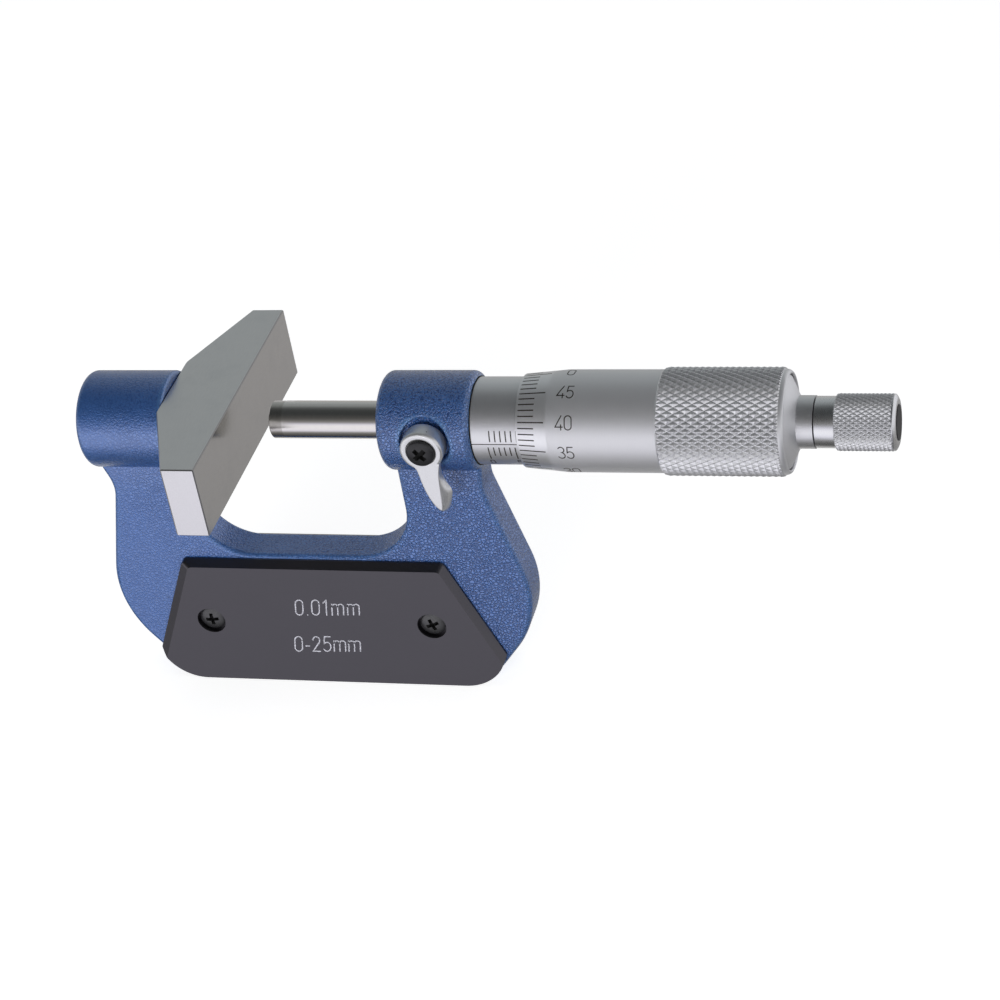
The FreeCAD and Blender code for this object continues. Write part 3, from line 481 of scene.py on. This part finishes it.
brass = brushed("brass", (0.70, 0.52, 0.25), 0.3, (1, 9, 1), 0.05, 0.1)
aluminium = grained("satin_aluminium", (0.76, 0.765, 0.77), 0.34, 5.0, 0.04, 0.10, metallic=0.80)
plate = grained("black_anodised_plate", (0.006, 0.006, 0.007), 0.33, 7.0, 0.14, 0.12, IOR=1.92,
                Specular_Tint=(0.95, 0.91, 1.0, 1))
blackened = grained("blackened_steel", (0.016, 0.016, 0.018), 0.30, 6.0, 0.2, 0.12, IOR=1.45)
plate_screw = grained("blackened_plate_screw", (0.026, 0.026, 0.028), 0.34, 6.0, 0.2, 0.12,
                      IOR=1.75)
# Near-black laid as painted shade: in the screws' crosses, the cap's groove, the gap at the boss
# and the pore on the lever's hub.
pit = grained("pit", (0.004, 0.004, 0.004), 0.8, 6.0, 0.2, 0.1)
disc_black = grained("black_disc", (0.006, 0.006, 0.007), 0.5, 5.0, 0.15, 0.1)
ink = grained("engraving_ink", (0.024, 0.020, 0.015), 0.45, 8.0, 0.2, 0.1)
etched = grained("etched_silver", (0.60, 0.60, 0.66), 0.5, 6.0, 0.45, 0.3, metallic=0.2)

FINISHES = {
    "frame": enamel, "anvil_bar": ground, "guide_sleeve": turned, "scale_sleeve": fine_satin,
    "adjusting_nut": turned, "lock_plug": brass, "front_grip_plate": plate,
    "rear_grip_plate": plate, "spindle": polished, "spindle_tip": carbide,
    "ratchet_body": collar_satin, "ratchet_click_disc": turned,
    "ratchet_spring": turned, "ratchet_screw": turned, "knob_end_disc": disc_black,
    "lock_stud": turned,
}
for node_name, finish in FINISHES.items():
    mesh = nodes[node_name].data
    mesh.materials.clear()
    mesh.materials.append(finish)


# Thimble with its bevelled edge and diamond knurl
KNURL_BACK = 22.65
KNURL_PITCH = 2.2
KNURL_GROOVES = 48
FINENESS = 6
RIM = 0.95
RIM_FACE = 8.66
KNURL_DEPTH = 0.36
GROOVE = 0.2
thimble_start, thimble_end = thimble_low[0], thimble_high[0]
crest = thimble_high[2]
BARREL = 9.2
BEVEL = 7.9
EDGE_RADIUS = 8.45
knurl_start = thimble_end - KNURL_BACK
knurl_end = thimble_end - RIM


def barrel_at(x):
    """The thimble's outer radius ahead of its knurl."""
    along = min(1.0, (x - thimble_start) / BEVEL)
    return EDGE_RADIUS + (BARREL - EDGE_RADIUS) * along


def knurled_part(thing, metal, start, end, least):
    """Gives the knurl's faces, those beyond a radius, a metal of their own."""
    mesh = thing.data
    mesh.materials.append(metal)
    for face in mesh.polygons:
        middle = face.center
        if start * MM < middle.x < end * MM and math.hypot(middle.y, middle.z) > least * MM:
            face.material_index = 1


def make_thimble():
    knurl = Knurl(knurl_start, knurl_end, crest, KNURL_PITCH, KNURL_GROOVES, KNURL_DEPTH,
                  FINENESS)
    shoulder = crest - KNURL_DEPTH - 0.04

    def limit(x):
        rise = BARREL + (x - knurl_start)
        fall = shoulder + (knurl_end - x) * 2.0
        return min(crest, rise, fall)

    bore = 8.1
    wall = thimble_end - 7.5
    mouth, shaft_hole, step_at = 8.5, 3.6, 2.4
    rings = [(thimble_start, bore, False), (thimble_start, EDGE_RADIUS, False),
             (thimble_start + 0.06, EDGE_RADIUS + 0.03, False)]
    for step in range(1, 12):
        x = thimble_start + BEVEL * step / 12
        rings.append((x, barrel_at(x), False))
    for offset in (-0.25, 0.0, 0.25):
        x = thimble_start + BEVEL + offset
        rings.append((x, barrel_at(x) - (0.006 if offset == 0 else 0.0), False))
    rings.append((knurl_start - 0.1, BARREL, False))
    rings += knurl.rings(limit)
    shifted = rings[-1][2]
    rim = thimble_end - knurl_end
    for step in range(1, 11):
        angle = math.pi / 2 * step / 10
        rings.append((knurl_end + rim * math.sin(angle),
                      RIM_FACE + (shoulder - RIM_FACE) * math.cos(angle), shifted))
    for x, r in ((thimble_end - 0.02, RIM_FACE - 0.05), (thimble_end - 0.12, mouth),
                 (thimble_end - step_at, mouth), (thimble_end - step_at, shaft_hole), (wall, 4.0),
                 (wall, bore)):
        rings.append((x, r, shifted))
    points, faces = lathe(rings, knurl.around)
    thing = piece("thimble_barrel", points, faces, "thimble", barrel_satin,
                  ["thimble"], sharp=24)
    knurled_part(thing, knurled, knurl_start, knurl_end, BARREL - 0.9)


make_thimble()


CAP_SIDES = 144


def make_cap():
    """The coned cap, with the fine groove that parts it from the thimble's rim, and a near-black
    ring of painted shade inside that groove.
    """
    low, high = box_mm("thimble_cap")
    outer, top = high[2], high[0]
    bore, mouth = 2.6, 4.7
    groove_start, groove_end = top - 2.3, top - 1.8
    profile = [(low[0], bore), (low[0], outer), (groove_start - 0.05, outer),
               (groove_start, outer - GROOVE), (groove_end, outer - GROOVE),
               (groove_end + 0.08, outer - GROOVE - 0.08), (top, mouth), (top, bore)]
    points, faces = lathe([(x, r, False) for x, r in profile], CAP_SIDES)
    piece("thimble_cap_coned", points, faces, "thimble", satin, ["thimble_cap"])
    start, end, skin = groove_start + 0.02, groove_end - 0.06, 0.005
    groove_shade_ring = [(start, outer - GROOVE + skin), (start, outer - skin), (end, outer - skin),
              (end, outer - GROOVE + skin)]
    points, faces = lathe([(x, r, False) for x, r in groove_shade_ring], CAP_SIDES)
    piece("cap_groove_shade", points, faces, "thimble", pit)


make_cap()


# Ratchet knob
def make_knob():
    start, end = knob_low[0], knob_high[0]
    crown = knob_high[2]
    neck = 4.58
    depth = 0.26
    pitch, grooves = 1.42, 37
    first = start + 3.4
    last = end - 0.68
    knurl = Knurl(first, last, crown, pitch, grooves, depth, FINENESS)
    shoulder = crown - depth - 0.03

    def limit(x):
        return min(crown, neck + (x - first) * 2, shoulder + (last - x) * 2.5)

    rings = [(start, 3.7, False), (start, 4.48, False), (start + 0.03, 4.55, False),
             (start + 0.12, neck, False), (first - 0.05, neck, False)]
    rings += knurl.rings(limit)
    shifted = rings[-1][2]
    edge = crown - 0.08
    rings.append((last + 0.06, edge, shifted))
    nose = 8
    for step in range(1, nose + 1):
        t = step / nose
        rings.append((last + 0.12 + (end - last - 0.12) * t, edge - (edge - 4.2) * t ** 1.7,
                      shifted))
    disc_bore, shaft_bore = 3.2, 2.9
    seat, socket = disc_low[0] - 0.05, end - 7.76
    for x, r in ((end, disc_bore + 0.08), (end - 0.06, disc_bore), (seat, disc_bore),
                 (seat, shaft_bore), (socket, shaft_bore), (socket, 3.7)):
        rings.append((x, r, shifted))
    points, faces = lathe(rings, knurl.around)
    thing = piece("ratchet_knob_knurled", points, faces, "knob", bright,
                  ["ratchet_knob"], sharp=24)
    knurled_part(thing, knurled, first, last, neck)


make_knob()


# Graduations and figures
LINE = 0.215
INDEX_LINE, INDEX_ANGLE = 0.16, 1.1
MARK_TOP, MARK_LOW, MARK_LONG = -4.2, -18.2, -25.0
HALF_LOW, HALF_HIGH = 5.2, 19.5
FIGURE_ANGLE, FIGURE_HEIGHT, FIGURE_LINE = -35.2, 1.5, 0.17
THIMBLE_LINE = 0.22
LONG_LINE, SHORT_LINE = 5.25, 3.35
THIMBLE_FIGURE, THIMBLE_FIGURE_X, THIMBLE_FIGURE_LINE = 2.5, 8.95, 0.20
FIRST_ANGLE = 2.7
DATUM_DIVISION = 36
ZERO_MARK = 48.26


def on_sleeve(u, v, lift):
    """u along the sleeve in millimetres, v round it from the front, upwards."""
    angle = v / sleeve_radius
    radius = sleeve_radius + lift
    return (u, -radius * math.cos(angle), radius * math.sin(angle))


def around_sleeve(degrees):
    return math.radians(degrees) * sleeve_radius


def straight(start, end, steps):
    return [(start[0] + (end[0] - start[0]) * k / steps,
             start[1] + (end[1] - start[1]) * k / steps) for k in range(steps + 1)]


def make_sleeve_scale():
    index = around_sleeve(INDEX_ANGLE)
    line = straight((sleeve_low[0] + 0.1, index), (sleeve_high[0] - 0.5, index), 60)
    strokes = [(line, INDEX_LINE)]
    for mark in range(RANGE_MM + 1):
        low = MARK_LONG if mark % 5 == 0 else MARK_LOW
        x = ZERO_MARK + mark
        strokes.append((straight((x, around_sleeve(MARK_TOP)), (x, around_sleeve(low)), 5), LINE))
        if mark < RANGE_MM:
            strokes.append((straight((x + PITCH, around_sleeve(HALF_LOW)),
                                     (x + PITCH, around_sleeve(HALF_HIGH)), 5), LINE))
    for mark in range(0, RANGE_MM + 1, 5):
        for line in worded(str(mark), FIGURE_HEIGHT, 0.2):
            strokes.append(([(x + ZERO_MARK + mark, y + around_sleeve(FIGURE_ANGLE))
                             for x, y in line], FIGURE_LINE))
    inlaid("sleeve_scale", strokes, on_sleeve, "frame", ink)


make_sleeve_scale()


def make_boss_joint():
    """A near-black ring of painted shade in the gap where the sleeve comes out of the rounded boss.
    """
    start = sleeve_low[0]
    points, faces = lathe([(start - 0.15, 7.9, False), (start - 0.15, 8.14, False),
                           (start + 0.1, 8.1, False), (start + 0.13, 7.9, False)], 120)
    piece("boss_gap_shade_ring", points, faces, "frame", pit)


make_boss_joint()


def on_barrel(u, v, lift):
    """u along the thimble, v the angle round it in radians."""
    radius = barrel_at(u) + lift
    return (u, -radius * math.cos(v), radius * math.sin(v))


def make_thimble_scale():
    turn = 2 * math.pi / DIVISIONS
    lines, figures = [], []
    for division in range(DIVISIONS):
        angle = math.radians(FIRST_ANGLE) + (division - DATUM_DIVISION) * turn
        long = division % 5 == 0
        end = thimble_start + (LONG_LINE if long else SHORT_LINE)
        line = straight((thimble_start + 0.06, angle), (end, angle), 4)
        lines.append((line, THIMBLE_LINE / EDGE_RADIUS))
        if long:
            for stroke in worded(str(division), THIMBLE_FIGURE, 0.14):
                figures.append(([(x + thimble_start + THIMBLE_FIGURE_X, y + angle * BARREL)
                                 for x, y in stroke], THIMBLE_FIGURE_LINE))

    def on_barrel_arc(u, v, lift):
        return on_barrel(u, v / BARREL, lift)
    make_division_lines(lines)
    inlaid("thimble_figures", figures, on_barrel_arc, "thimble", ink)


def make_division_lines(strokes):
    """Each division is a thin bar of even width, laid along the bevel."""
    points, faces = [], []
    for line, width in strokes:
        first = len(points)
        count = len(line)
        for lift in (INLAY_PROUD, -INLAY_DEEP):
            for side in (-0.5, 0.5):
                points += [on_barrel(u, v + width * side, lift) for u, v in line]
        quads = []
        for k in range(count - 1):
            quads.append((k, k + 1, count + k + 1, count + k))
            quads.append((2 * count + k, 3 * count + k, 3 * count + k + 1, 2 * count + k + 1))
            quads.append((k, 2 * count + k, 2 * count + k + 1, k + 1))
            quads.append((count + k, count + k + 1, 3 * count + k + 1, 3 * count + k))
        quads.append((0, count, 3 * count, 2 * count))
        quads.append((count - 1, 3 * count - 1, 4 * count - 1, 2 * count - 1))
        faces += [tuple(first + k for k in quad) for quad in quads]
    piece("thimble_divisions", points, faces, "thimble", ink)


make_thimble_scale()


# Words on the front grip plate
WORD_HEIGHT = 3.6
WORD_WIDTH = 0.84
WORD_LINE = 0.25
WORD_LEAN = 0.158
WORD_RISE = 0.03
WORDS = (("0.01mm", 9.5, -39.3, 0.235), ("0-25mm", 7.8, -48.2, 0.19))


def on_plate(u, v, lift):
    return (u, plate_low[1] - lift, v)


def make_plate_words():
    """Two etched lines. They lean a little, as they do on the real plate."""
    strokes = []
    for text, middle, level, gap in WORDS:
        for line in worded(text, WORD_HEIGHT, gap, WORD_WIDTH):
            strokes.append(([(x + y * WORD_LEAN + middle, y + x * WORD_RISE + level)
                             for x, y in line], WORD_LINE))
    inlaid("plate_words", strokes, on_plate, "frame", etched)


make_plate_words()


# Cross-head screws
def solid_of(points, faces):
    mesh = bpy.data.meshes.new("solid")
    mesh.from_pydata(points, [], faces)
    work = bmesh.new()
    work.from_mesh(mesh)
    bmesh.ops.recalc_face_normals(work, faces=work.faces)
    work.to_mesh(mesh)
    work.free()
    thing = bpy.data.objects.new("solid", mesh)
    scene.collection.objects.link(thing)
    return thing


def cut_away(body, cutter):
    """The mesh of one solid less another, both of which are used up."""
    modifier = body.modifiers.new("cut", "BOOLEAN")
    modifier.operation = "DIFFERENCE"
    modifier.solver = "EXACT"
    modifier.object = cutter
    graph = bpy.context.evaluated_depsgraph_get()
    mesh = bpy.data.meshes.new_from_object(body.evaluated_get(graph))
    for thing in (body, cutter):
        spent = thing.data
        bpy.data.objects.remove(thing)
        bpy.data.meshes.remove(spent)
    return mesh


def revolved_solid(profile, around=72):
    """A closed solid turned about Z from (radius, height) points that end on the axis."""
    points, faces = [], []
    rows = []
    for radius, height in profile:
        if radius == 0:
            rows.append([len(points)])
            points.append((0, 0, height))
            continue
        rows.append(list(range(len(points), len(points) + around)))
        for number in range(around):
            angle = 2 * math.pi * number / around
            points.append((radius * math.cos(angle), radius * math.sin(angle), height))
    for low, high in zip(rows, rows[1:]):
        for number in range(around):
            after = (number + 1) % around
            if len(low) == 1:
                faces.append((low[0], high[number], high[after]))
            elif len(high) == 1:
                faces.append((low[number], low[after], high[0]))
            else:
                faces.append((low[number], low[after], high[after], high[number]))
    return points, faces


def cross_cutter(reach, half, depth, top, above):
    """A tapered cross that is driven in from above. Its arms have that reach at the top."""
    def ring(long, thin, height):
        corners = [(thin, thin), (long, thin), (long, -thin), (thin, -thin), (thin, -long),
                   (-thin, -long), (-thin, -thin), (-long, -thin), (-long, thin), (-thin, thin),
                   (-thin, long), (thin, long)]
        return [(x, y, height) for x, y in corners]
    slope = reach * 0.5 / depth
    upper = ring(reach + slope * above, half * 1.04, top + above)
    lower = ring(reach * 0.5, half * 0.75, top - depth)
    points = upper + lower
    count = len(upper)
    faces = [tuple(range(count)), tuple(reversed(range(count, 2 * count)))]
    faces += [(k, (k + 1) % count, count + (k + 1) % count, count + k) for k in range(count)]
    return points, faces


SCREW_HEAD = 1.0


def cross_screw(name, node, body, metal, shank, rim, reach, half, turn, facing):
    """A domed screw with a cross recess that stands in for a node's plain one."""
    height = SCREW_HEAD
    low, high = box_mm(node)
    middle_x, middle_z = (low[0] + high[0]) / 2, (low[2] + high[2]) / 2
    head = (high[0] - low[0]) / 2
    length = high[1] - low[1]
    dome = height - rim
    radius = (head * head + dome * dome) / (dome * 2)
    profile = [(0, -length + height), (shank, -length + height), (shank, 0), (head, 0),
               (head, rim * 0.75)]
    profile.append((head * 0.985, rim * 0.97))
    steps = 9
    widest = math.asin(head * 0.96 / radius)
    for step in range(steps):
        angle = widest * (1 - step / steps)
        profile.append((radius * math.sin(angle), rim + dome - radius * (1 - math.cos(angle))))
    profile.append((0, height))
    head_mesh = solid_of(*revolved_solid(profile))
    cutter = solid_of(*cross_cutter(reach, half, height * 0.8, height - 0.1, 0.3))
    mesh = cut_away(head_mesh, cutter)
    sunken = []
    for polygon in mesh.polygons:
        x, y, z = polygon.center
        away = math.hypot(x, y)
        surface = height - radius + math.sqrt(max(0.0, radius * radius - away * away))
        sunken.append(z > 0 and away < head * 0.9 and z < surface - 0.03)
    out = -1 if facing < 0 else 1
    face = low[1] if facing < 0 else high[1]
    across = Vector((out * -1, 0, 0))
    place = Matrix((
        (across.x, 0, 0, middle_x), (0, 0, out, face - out * height), (0, 1, 0, middle_z),
        (0, 0, 0, 1)))
    spin = Matrix.Rotation(math.radians(turn), 4, "Z")
    mesh.transform(Matrix.Scale(MM, 4) @ place @ spin)
    thing = dressed(name, mesh, body, metal, [node], sharp=35)
    # Faces sunk in the cross take the near-black material: painted shade in the recess.
    thing.data.materials.append(pit)
    for polygon, deep in zip(thing.data.polygons, sunken):
        polygon.material_index = 1 if deep else 0


cross_screw("lock_screw_cross", "lock_screw", "lever", blackened, shank=1.25, rim=0.45, reach=1.45,
            half=0.47, turn=42, facing=-1)
PLATE_SCREWS = {
    "front_plate_screw_left": (-1, 4), "front_plate_screw_right": (-1, 22),
    "rear_plate_screw_left": (1, 10), "rear_plate_screw_right": (1, 60)}
for node_name, (facing, turn) in PLATE_SCREWS.items():
    cross_screw(node_name + "_cross", node_name, "frame", plate_screw, shank=1.2, rim=0.5,
                reach=1.35, half=0.38, turn=turn, facing=facing)


# Lock lever: hub and arm, joined and smoothed like a casting
def curved(points, steps):
    """A smooth line through points, the first and last of which keep their place."""
    made = []
    last = len(points) - 1
    for index in range(last):
        p0, p1 = points[max(index - 1, 0)], points[index]
        p2, p3 = points[index + 1], points[min(index + 2, last)]
        for step in range(steps):
            t = step / steps
            made.append(tuple(
                0.5 * (2 * b + (c - a) * t + (2 * a - 5 * b + 4 * c - d) * t ** 2
                       + (3 * b - a - 3 * c + d) * t ** 3)
                for a, b, c, d in zip(p0, p1, p2, p3)))
    return made + [points[last]]


# Share of the arm's depth, and of the way from its front outline to its back one
ARM_SECTIONS = ((0.0, 0.0), (0.10, 0.24), (0.22, 0.45), (0.4, 0.66), (0.65, 0.86), (1.0, 1.0))


def make_lever():
    front, back = lever_low[1], lever_high[1]
    arm_back = -9.3
    hub = HUB_RADIUS
    rounds = 0.55
    depth = back - front
    profile = [(0, 0), (hub - 0.15, 0), (hub, 0.15)]
    for step in range(7):
        angle = math.pi / 2 * step / 6
        profile.append((hub - rounds + rounds * math.cos(angle),
                        depth - rounds + rounds * math.sin(angle)))
    profile += [(2.76, depth), (2.66, depth - 0.3), (0, depth - 0.3)]
    disc = solid_of(*revolved_solid(profile, 96))
    disc.data.transform(Matrix((
        (1, 0, 0, LEVER_X), (0, 0, -1, back), (0, 1, 0, LEVER_Z), (0, 0, 0, 1))))
    front_line = curved([
        (-2.7, -1.6), (-2.02, -2.93), (-1.45, -3.9), (-1.2, -5.1), (-0.98, -6.6), (-0.64, -8.15),
        (-0.1, -9.9), (0.6, -11.45), (1.25, -12.3), (1.86, -12.62), (2.02, -12.0), (2.08, -11.0),
        (2.12, -10.0), (2.16, -9.0), (2.22, -8.1), (2.3, -7.2), (2.42, -6.0), (2.65, -4.5),
        (3.1, -2.6)], 4)
    back_line = curved([
        (-2.7, -1.6), (-2.0, -2.9), (-1.4, -4.0), (-1.1, -5.3), (-0.85, -6.9), (-0.45, -8.6),
        (0.15, -10.4), (0.85, -12.0), (1.45, -13.1), (2.1, -13.65), (2.8, -13.3),
        (3.32, -12.1), (3.68, -10.8), (3.84, -9.7), (3.72, -8.9), (3.36, -8.1), (2.92, -7.1),
        (2.5, -5.4), (2.9, -2.6)], 4)
    points, faces = [], []
    count = len(front_line)
    for row, (into, way) in enumerate(ARM_SECTIONS):
        y = front + (arm_back - front) * into
        for (x0, z0), (x1, z1) in zip(front_line, back_line):
            points.append((LEVER_X + x0 + (x1 - x0) * way, y, LEVER_Z + z0 + (z1 - z0) * way))
        if row > 0:
            low = (row - 1) * count
            faces += [(low + k, low + (k + 1) % count, low + count + (k + 1) % count,
                       low + count + k) for k in range(count)]
    faces += [tuple(range(count)), tuple(reversed(range(len(points) - count, len(points))))]
    arm = solid_of(points, faces)
    joined = disc.modifiers.new("joined", "BOOLEAN")
    joined.operation = "UNION"
    joined.solver = "EXACT"
    joined.object = arm
    cells = disc.modifiers.new("cells", "REMESH")
    cells.mode = "VOXEL"
    cells.voxel_size = 0.08
    ease = disc.modifiers.new("ease", "SMOOTH")
    ease.factor = 0.5
    ease.iterations = 14
    graph = bpy.context.evaluated_depsgraph_get()
    mesh = bpy.data.meshes.new_from_object(disc.evaluated_get(graph))
    for thing in (disc, arm):
        spent = thing.data
        bpy.data.objects.remove(thing)
        bpy.data.meshes.remove(spent)
    mesh.transform(Matrix.Scale(MM, 4))
    dressed("lock_lever_cast", mesh, "lever", aluminium, ["lock_lever"],
            sharp=60)


make_lever()


def on_hub(u, v, lift):
    """u along the hub's axis, v round it from the pore, both in millimetres."""
    radius = HUB_RADIUS + lift
    angle = math.radians(PORE_ANGLE) + v / radius
    return (LEVER_X + radius * math.cos(angle), u, LEVER_Z + radius * math.sin(angle))


# A near-black dot on the hub: painted shade standing in for a small pore.
PORE_ANGLE = 68.742
PORE_DEPTH = -10.2
PORE_WIDTH = 0.2
pore = [(PORE_DEPTH - 0.02, 0), (PORE_DEPTH + 0.02, 0)]
inlaid("lever_pore", [(pore, PORE_WIDTH)], on_hub, "lever", pit)


# Floor, light and camera
FLOOR_GLOW = 0.76


def make_floor():
    size = 3000.0
    mesh = bpy.data.meshes.new("floor")
    mesh.from_pydata([(x * size * MM, y * size * MM, foot_level * MM)
                      for x, y in ((-1, -1), (1, -1), (1, 1), (-1, 1))], [], [(0, 1, 2, 3)])
    made = bpy.data.materials.new("pale_floor")
    made.use_nodes = True
    tree = made.node_tree
    tree.nodes.clear()
    out = tree.nodes.new("ShaderNodeOutputMaterial")
    matt = add(tree, "BsdfDiffuse", Color=(0.8, 0.8, 0.8, 1))
    path = tree.nodes.new("ShaderNodeLightPath")
    share = add(tree, "Math", {"operation": "MULTIPLY"}, i0=path.outputs["Is Camera Ray"],
                i1=FLOOR_GLOW)
    glow = add(tree, "Emission", Color=(1, 1, 1, 1), Strength=share.outputs[0])
    both = add(tree, "AddShader", i0=matt.outputs[0], i1=glow.outputs[0])
    tree.links.new(both.outputs[0], out.inputs["Surface"])
    mesh.materials.append(made)
    floor = bpy.data.objects.new("floor", mesh)
    scene.collection.objects.link(floor)
    floor.visible_glossy = False
    return floor


make_floor()


PEAK = 1.15


def make_world():
    """White to the eye; a studio with a bright front and a dark ceiling in the metal."""
    world = bpy.data.worlds.new("studio")
    scene.world = world
    world.use_nodes = True
    tree = world.node_tree
    tree.nodes.clear()
    out = tree.nodes.new("ShaderNodeOutputWorld")
    direction = tree.nodes.new("ShaderNodeTexCoord").outputs["Generated"]
    parts = add(tree, "SeparateXYZ", Vector=direction)
    front = add(tree, "Math", {"operation": "MULTIPLY"}, i0=parts.outputs["Y"], i1=-1.0)
    angle = add(tree, "Math", {"operation": "ARCTAN2"}, i0=parts.outputs["Z"],
                i1=front.outputs[0])
    share = add(tree, "MapRange", Value=angle.outputs[0], i1=-math.pi, i2=math.pi, i3=0.0, i4=1.0)

    def at(degrees, level, tint):
        return ((degrees + 180) / 360, [min(1.0, level * value / PEAK) for value in tint])
    lilac, plain, cool = (0.965, 0.955, 1.08), (1.0, 0.99, 0.97), (0.93, 1.0, 1.02)
    studio = ramp(tree, share.outputs["Result"], [
        at(-180, 0.50, plain), at(-160, 0.42, plain), at(-144, 0.36, plain),
        at(-132, 0.52, plain), at(-119, 0.82, plain), at(-106, 0.38, plain), at(-95, 0.12, plain),
        at(-84, 0.07, plain), at(-62, 0.17, plain), at(-50, 0.34, plain), at(-42, 0.84, lilac),
        at(-33, 1.10, lilac), at(-20, 1.14, lilac), at(-6, 1.15, lilac), at(4, 0.98, lilac),
        at(11, 0.55, lilac), at(18, 0.30, plain), at(30, 0.15, plain), at(42, 0.09, plain),
        at(66, 0.05, cool), at(90, 0.06, cool), at(106, 0.11, cool), at(124, 0.28, cool),
        at(140, 0.38, cool), at(160, 0.42, cool), at(180, 0.50, plain)])
    beside = add(tree, "MapRange", {"interpolation_type": "SMOOTHSTEP"},
                 Value=parts.outputs["X"], i1=-0.05, i2=0.35, i3=0.0, i4=1.0)
    height = add(tree, "MapRange", Value=parts.outputs["Z"], i1=-1.0, i2=1.0, i3=0.0, i4=1.0)
    right = ramp(tree, height.outputs["Result"], [
        (0.0, (0.22, 0.22, 0.22)), (0.20, (0.25, 0.245, 0.24)), (0.27, (0.33, 0.32, 0.315)),
        (0.32, (0.60, 0.60, 0.62)), (0.42, (0.74, 0.74, 0.77)), (0.52, (0.72, 0.72, 0.75)),
        (0.60, (0.66, 0.66, 0.68)), (0.69, (0.85, 0.85, 0.86)), (0.77, (0.20, 0.20, 0.21)),
        (1.0, (0.07, 0.07, 0.08))])
    frontal = add(tree, "MapRange", Value=parts.outputs["Y"], i1=-0.3, i2=0.15, i3=1.0, i4=0.0)
    low_down = add(tree, "MapRange", Value=parts.outputs["Z"], i1=-0.32, i2=-0.12, i3=1.0, i4=0.0)
    dimmed = add(tree, "Math", {"operation": "MULTIPLY"}, i0=frontal.outputs["Result"],
                 i1=low_down.outputs["Result"])
    shaded = add(tree, "MixRGB", Fac=dimmed.outputs[0], Color1=right,
                 Color2=(0.08, 0.08, 0.09, 1)).outputs["Color"]
    around = add(tree, "MixRGB", Fac=beside.outputs["Result"], Color1=studio,
                 Color2=shaded).outputs["Color"]
    path = tree.nodes.new("ShaderNodeLightPath")
    mirror = add(tree, "Background", Color=around, Strength=PEAK)
    soft = add(tree, "Background", Color=around, Strength=PEAK * 0.85)
    white = add(tree, "Background", Color=(1, 1, 1, 1), Strength=1.0)
    lit = add(tree, "MixShader", Fac=path.outputs["Is Glossy Ray"], i1=soft.outputs[0],
              i2=mirror.outputs[0])
    seen = add(tree, "MixShader", Fac=path.outputs["Is Camera Ray"], i1=lit.outputs[0],
               i2=white.outputs[0])
    tree.links.new(seen.outputs[0], out.inputs["Surface"])


make_world()


def lamp(name, place, target, size, power):
    """A soft area lamp that the metal doesn't mirror."""
    light = bpy.data.lights.new(name, "AREA")
    light.shape = "DISK"
    light.size = size * MM
    light.energy = power
    thing = bpy.data.objects.new(name, light)
    scene.collection.objects.link(thing)
    thing.location = [value * MM for value in place]
    aim = Vector([value * MM for value in target]) - thing.location
    thing.rotation_mode = "QUATERNION"
    thing.rotation_quaternion = aim.to_track_quat("-Z", "Y")
    thing.visible_glossy = False
    return thing


lamp("front_lamp", (-100, -780, 60), (40, 0, -10), 500, 5.0)
lamp("top_lamp", (0, 0, 800), (40, 0, -20), 600, 0.7)


def make_camera():
    """The photograph's viewpoint, square on to its 1000 by 1000 frame."""
    right = Vector((0.9600462329897367, 0.23499084149574817, -0.15195570056874097))
    down = Vector((0.012854749946653157, -0.5794656983153134, -0.8148952447276617))
    look = Vector((-0.27954603543249495, 0.7803837574482614, -0.5593346093215651))
    focal_pixels = 2747.024914700419
    frame_pixels = 1000
    camera = bpy.data.cameras.new("camera")
    camera.sensor_width = 36
    camera.lens = camera.sensor_width * focal_pixels / frame_pixels
    camera.clip_start = 0.01
    camera.clip_end = 20
    thing = bpy.data.objects.new("camera", camera)
    scene.collection.objects.link(thing)
    turn = Matrix((right, -down, -look)).transposed().to_4x4()
    thing.matrix_world = Matrix.Translation((0.187260, -0.394807, 0.265319)) @ turn
    scene.camera = thing


make_camera()
scene.view_settings.view_transform = "Standard"
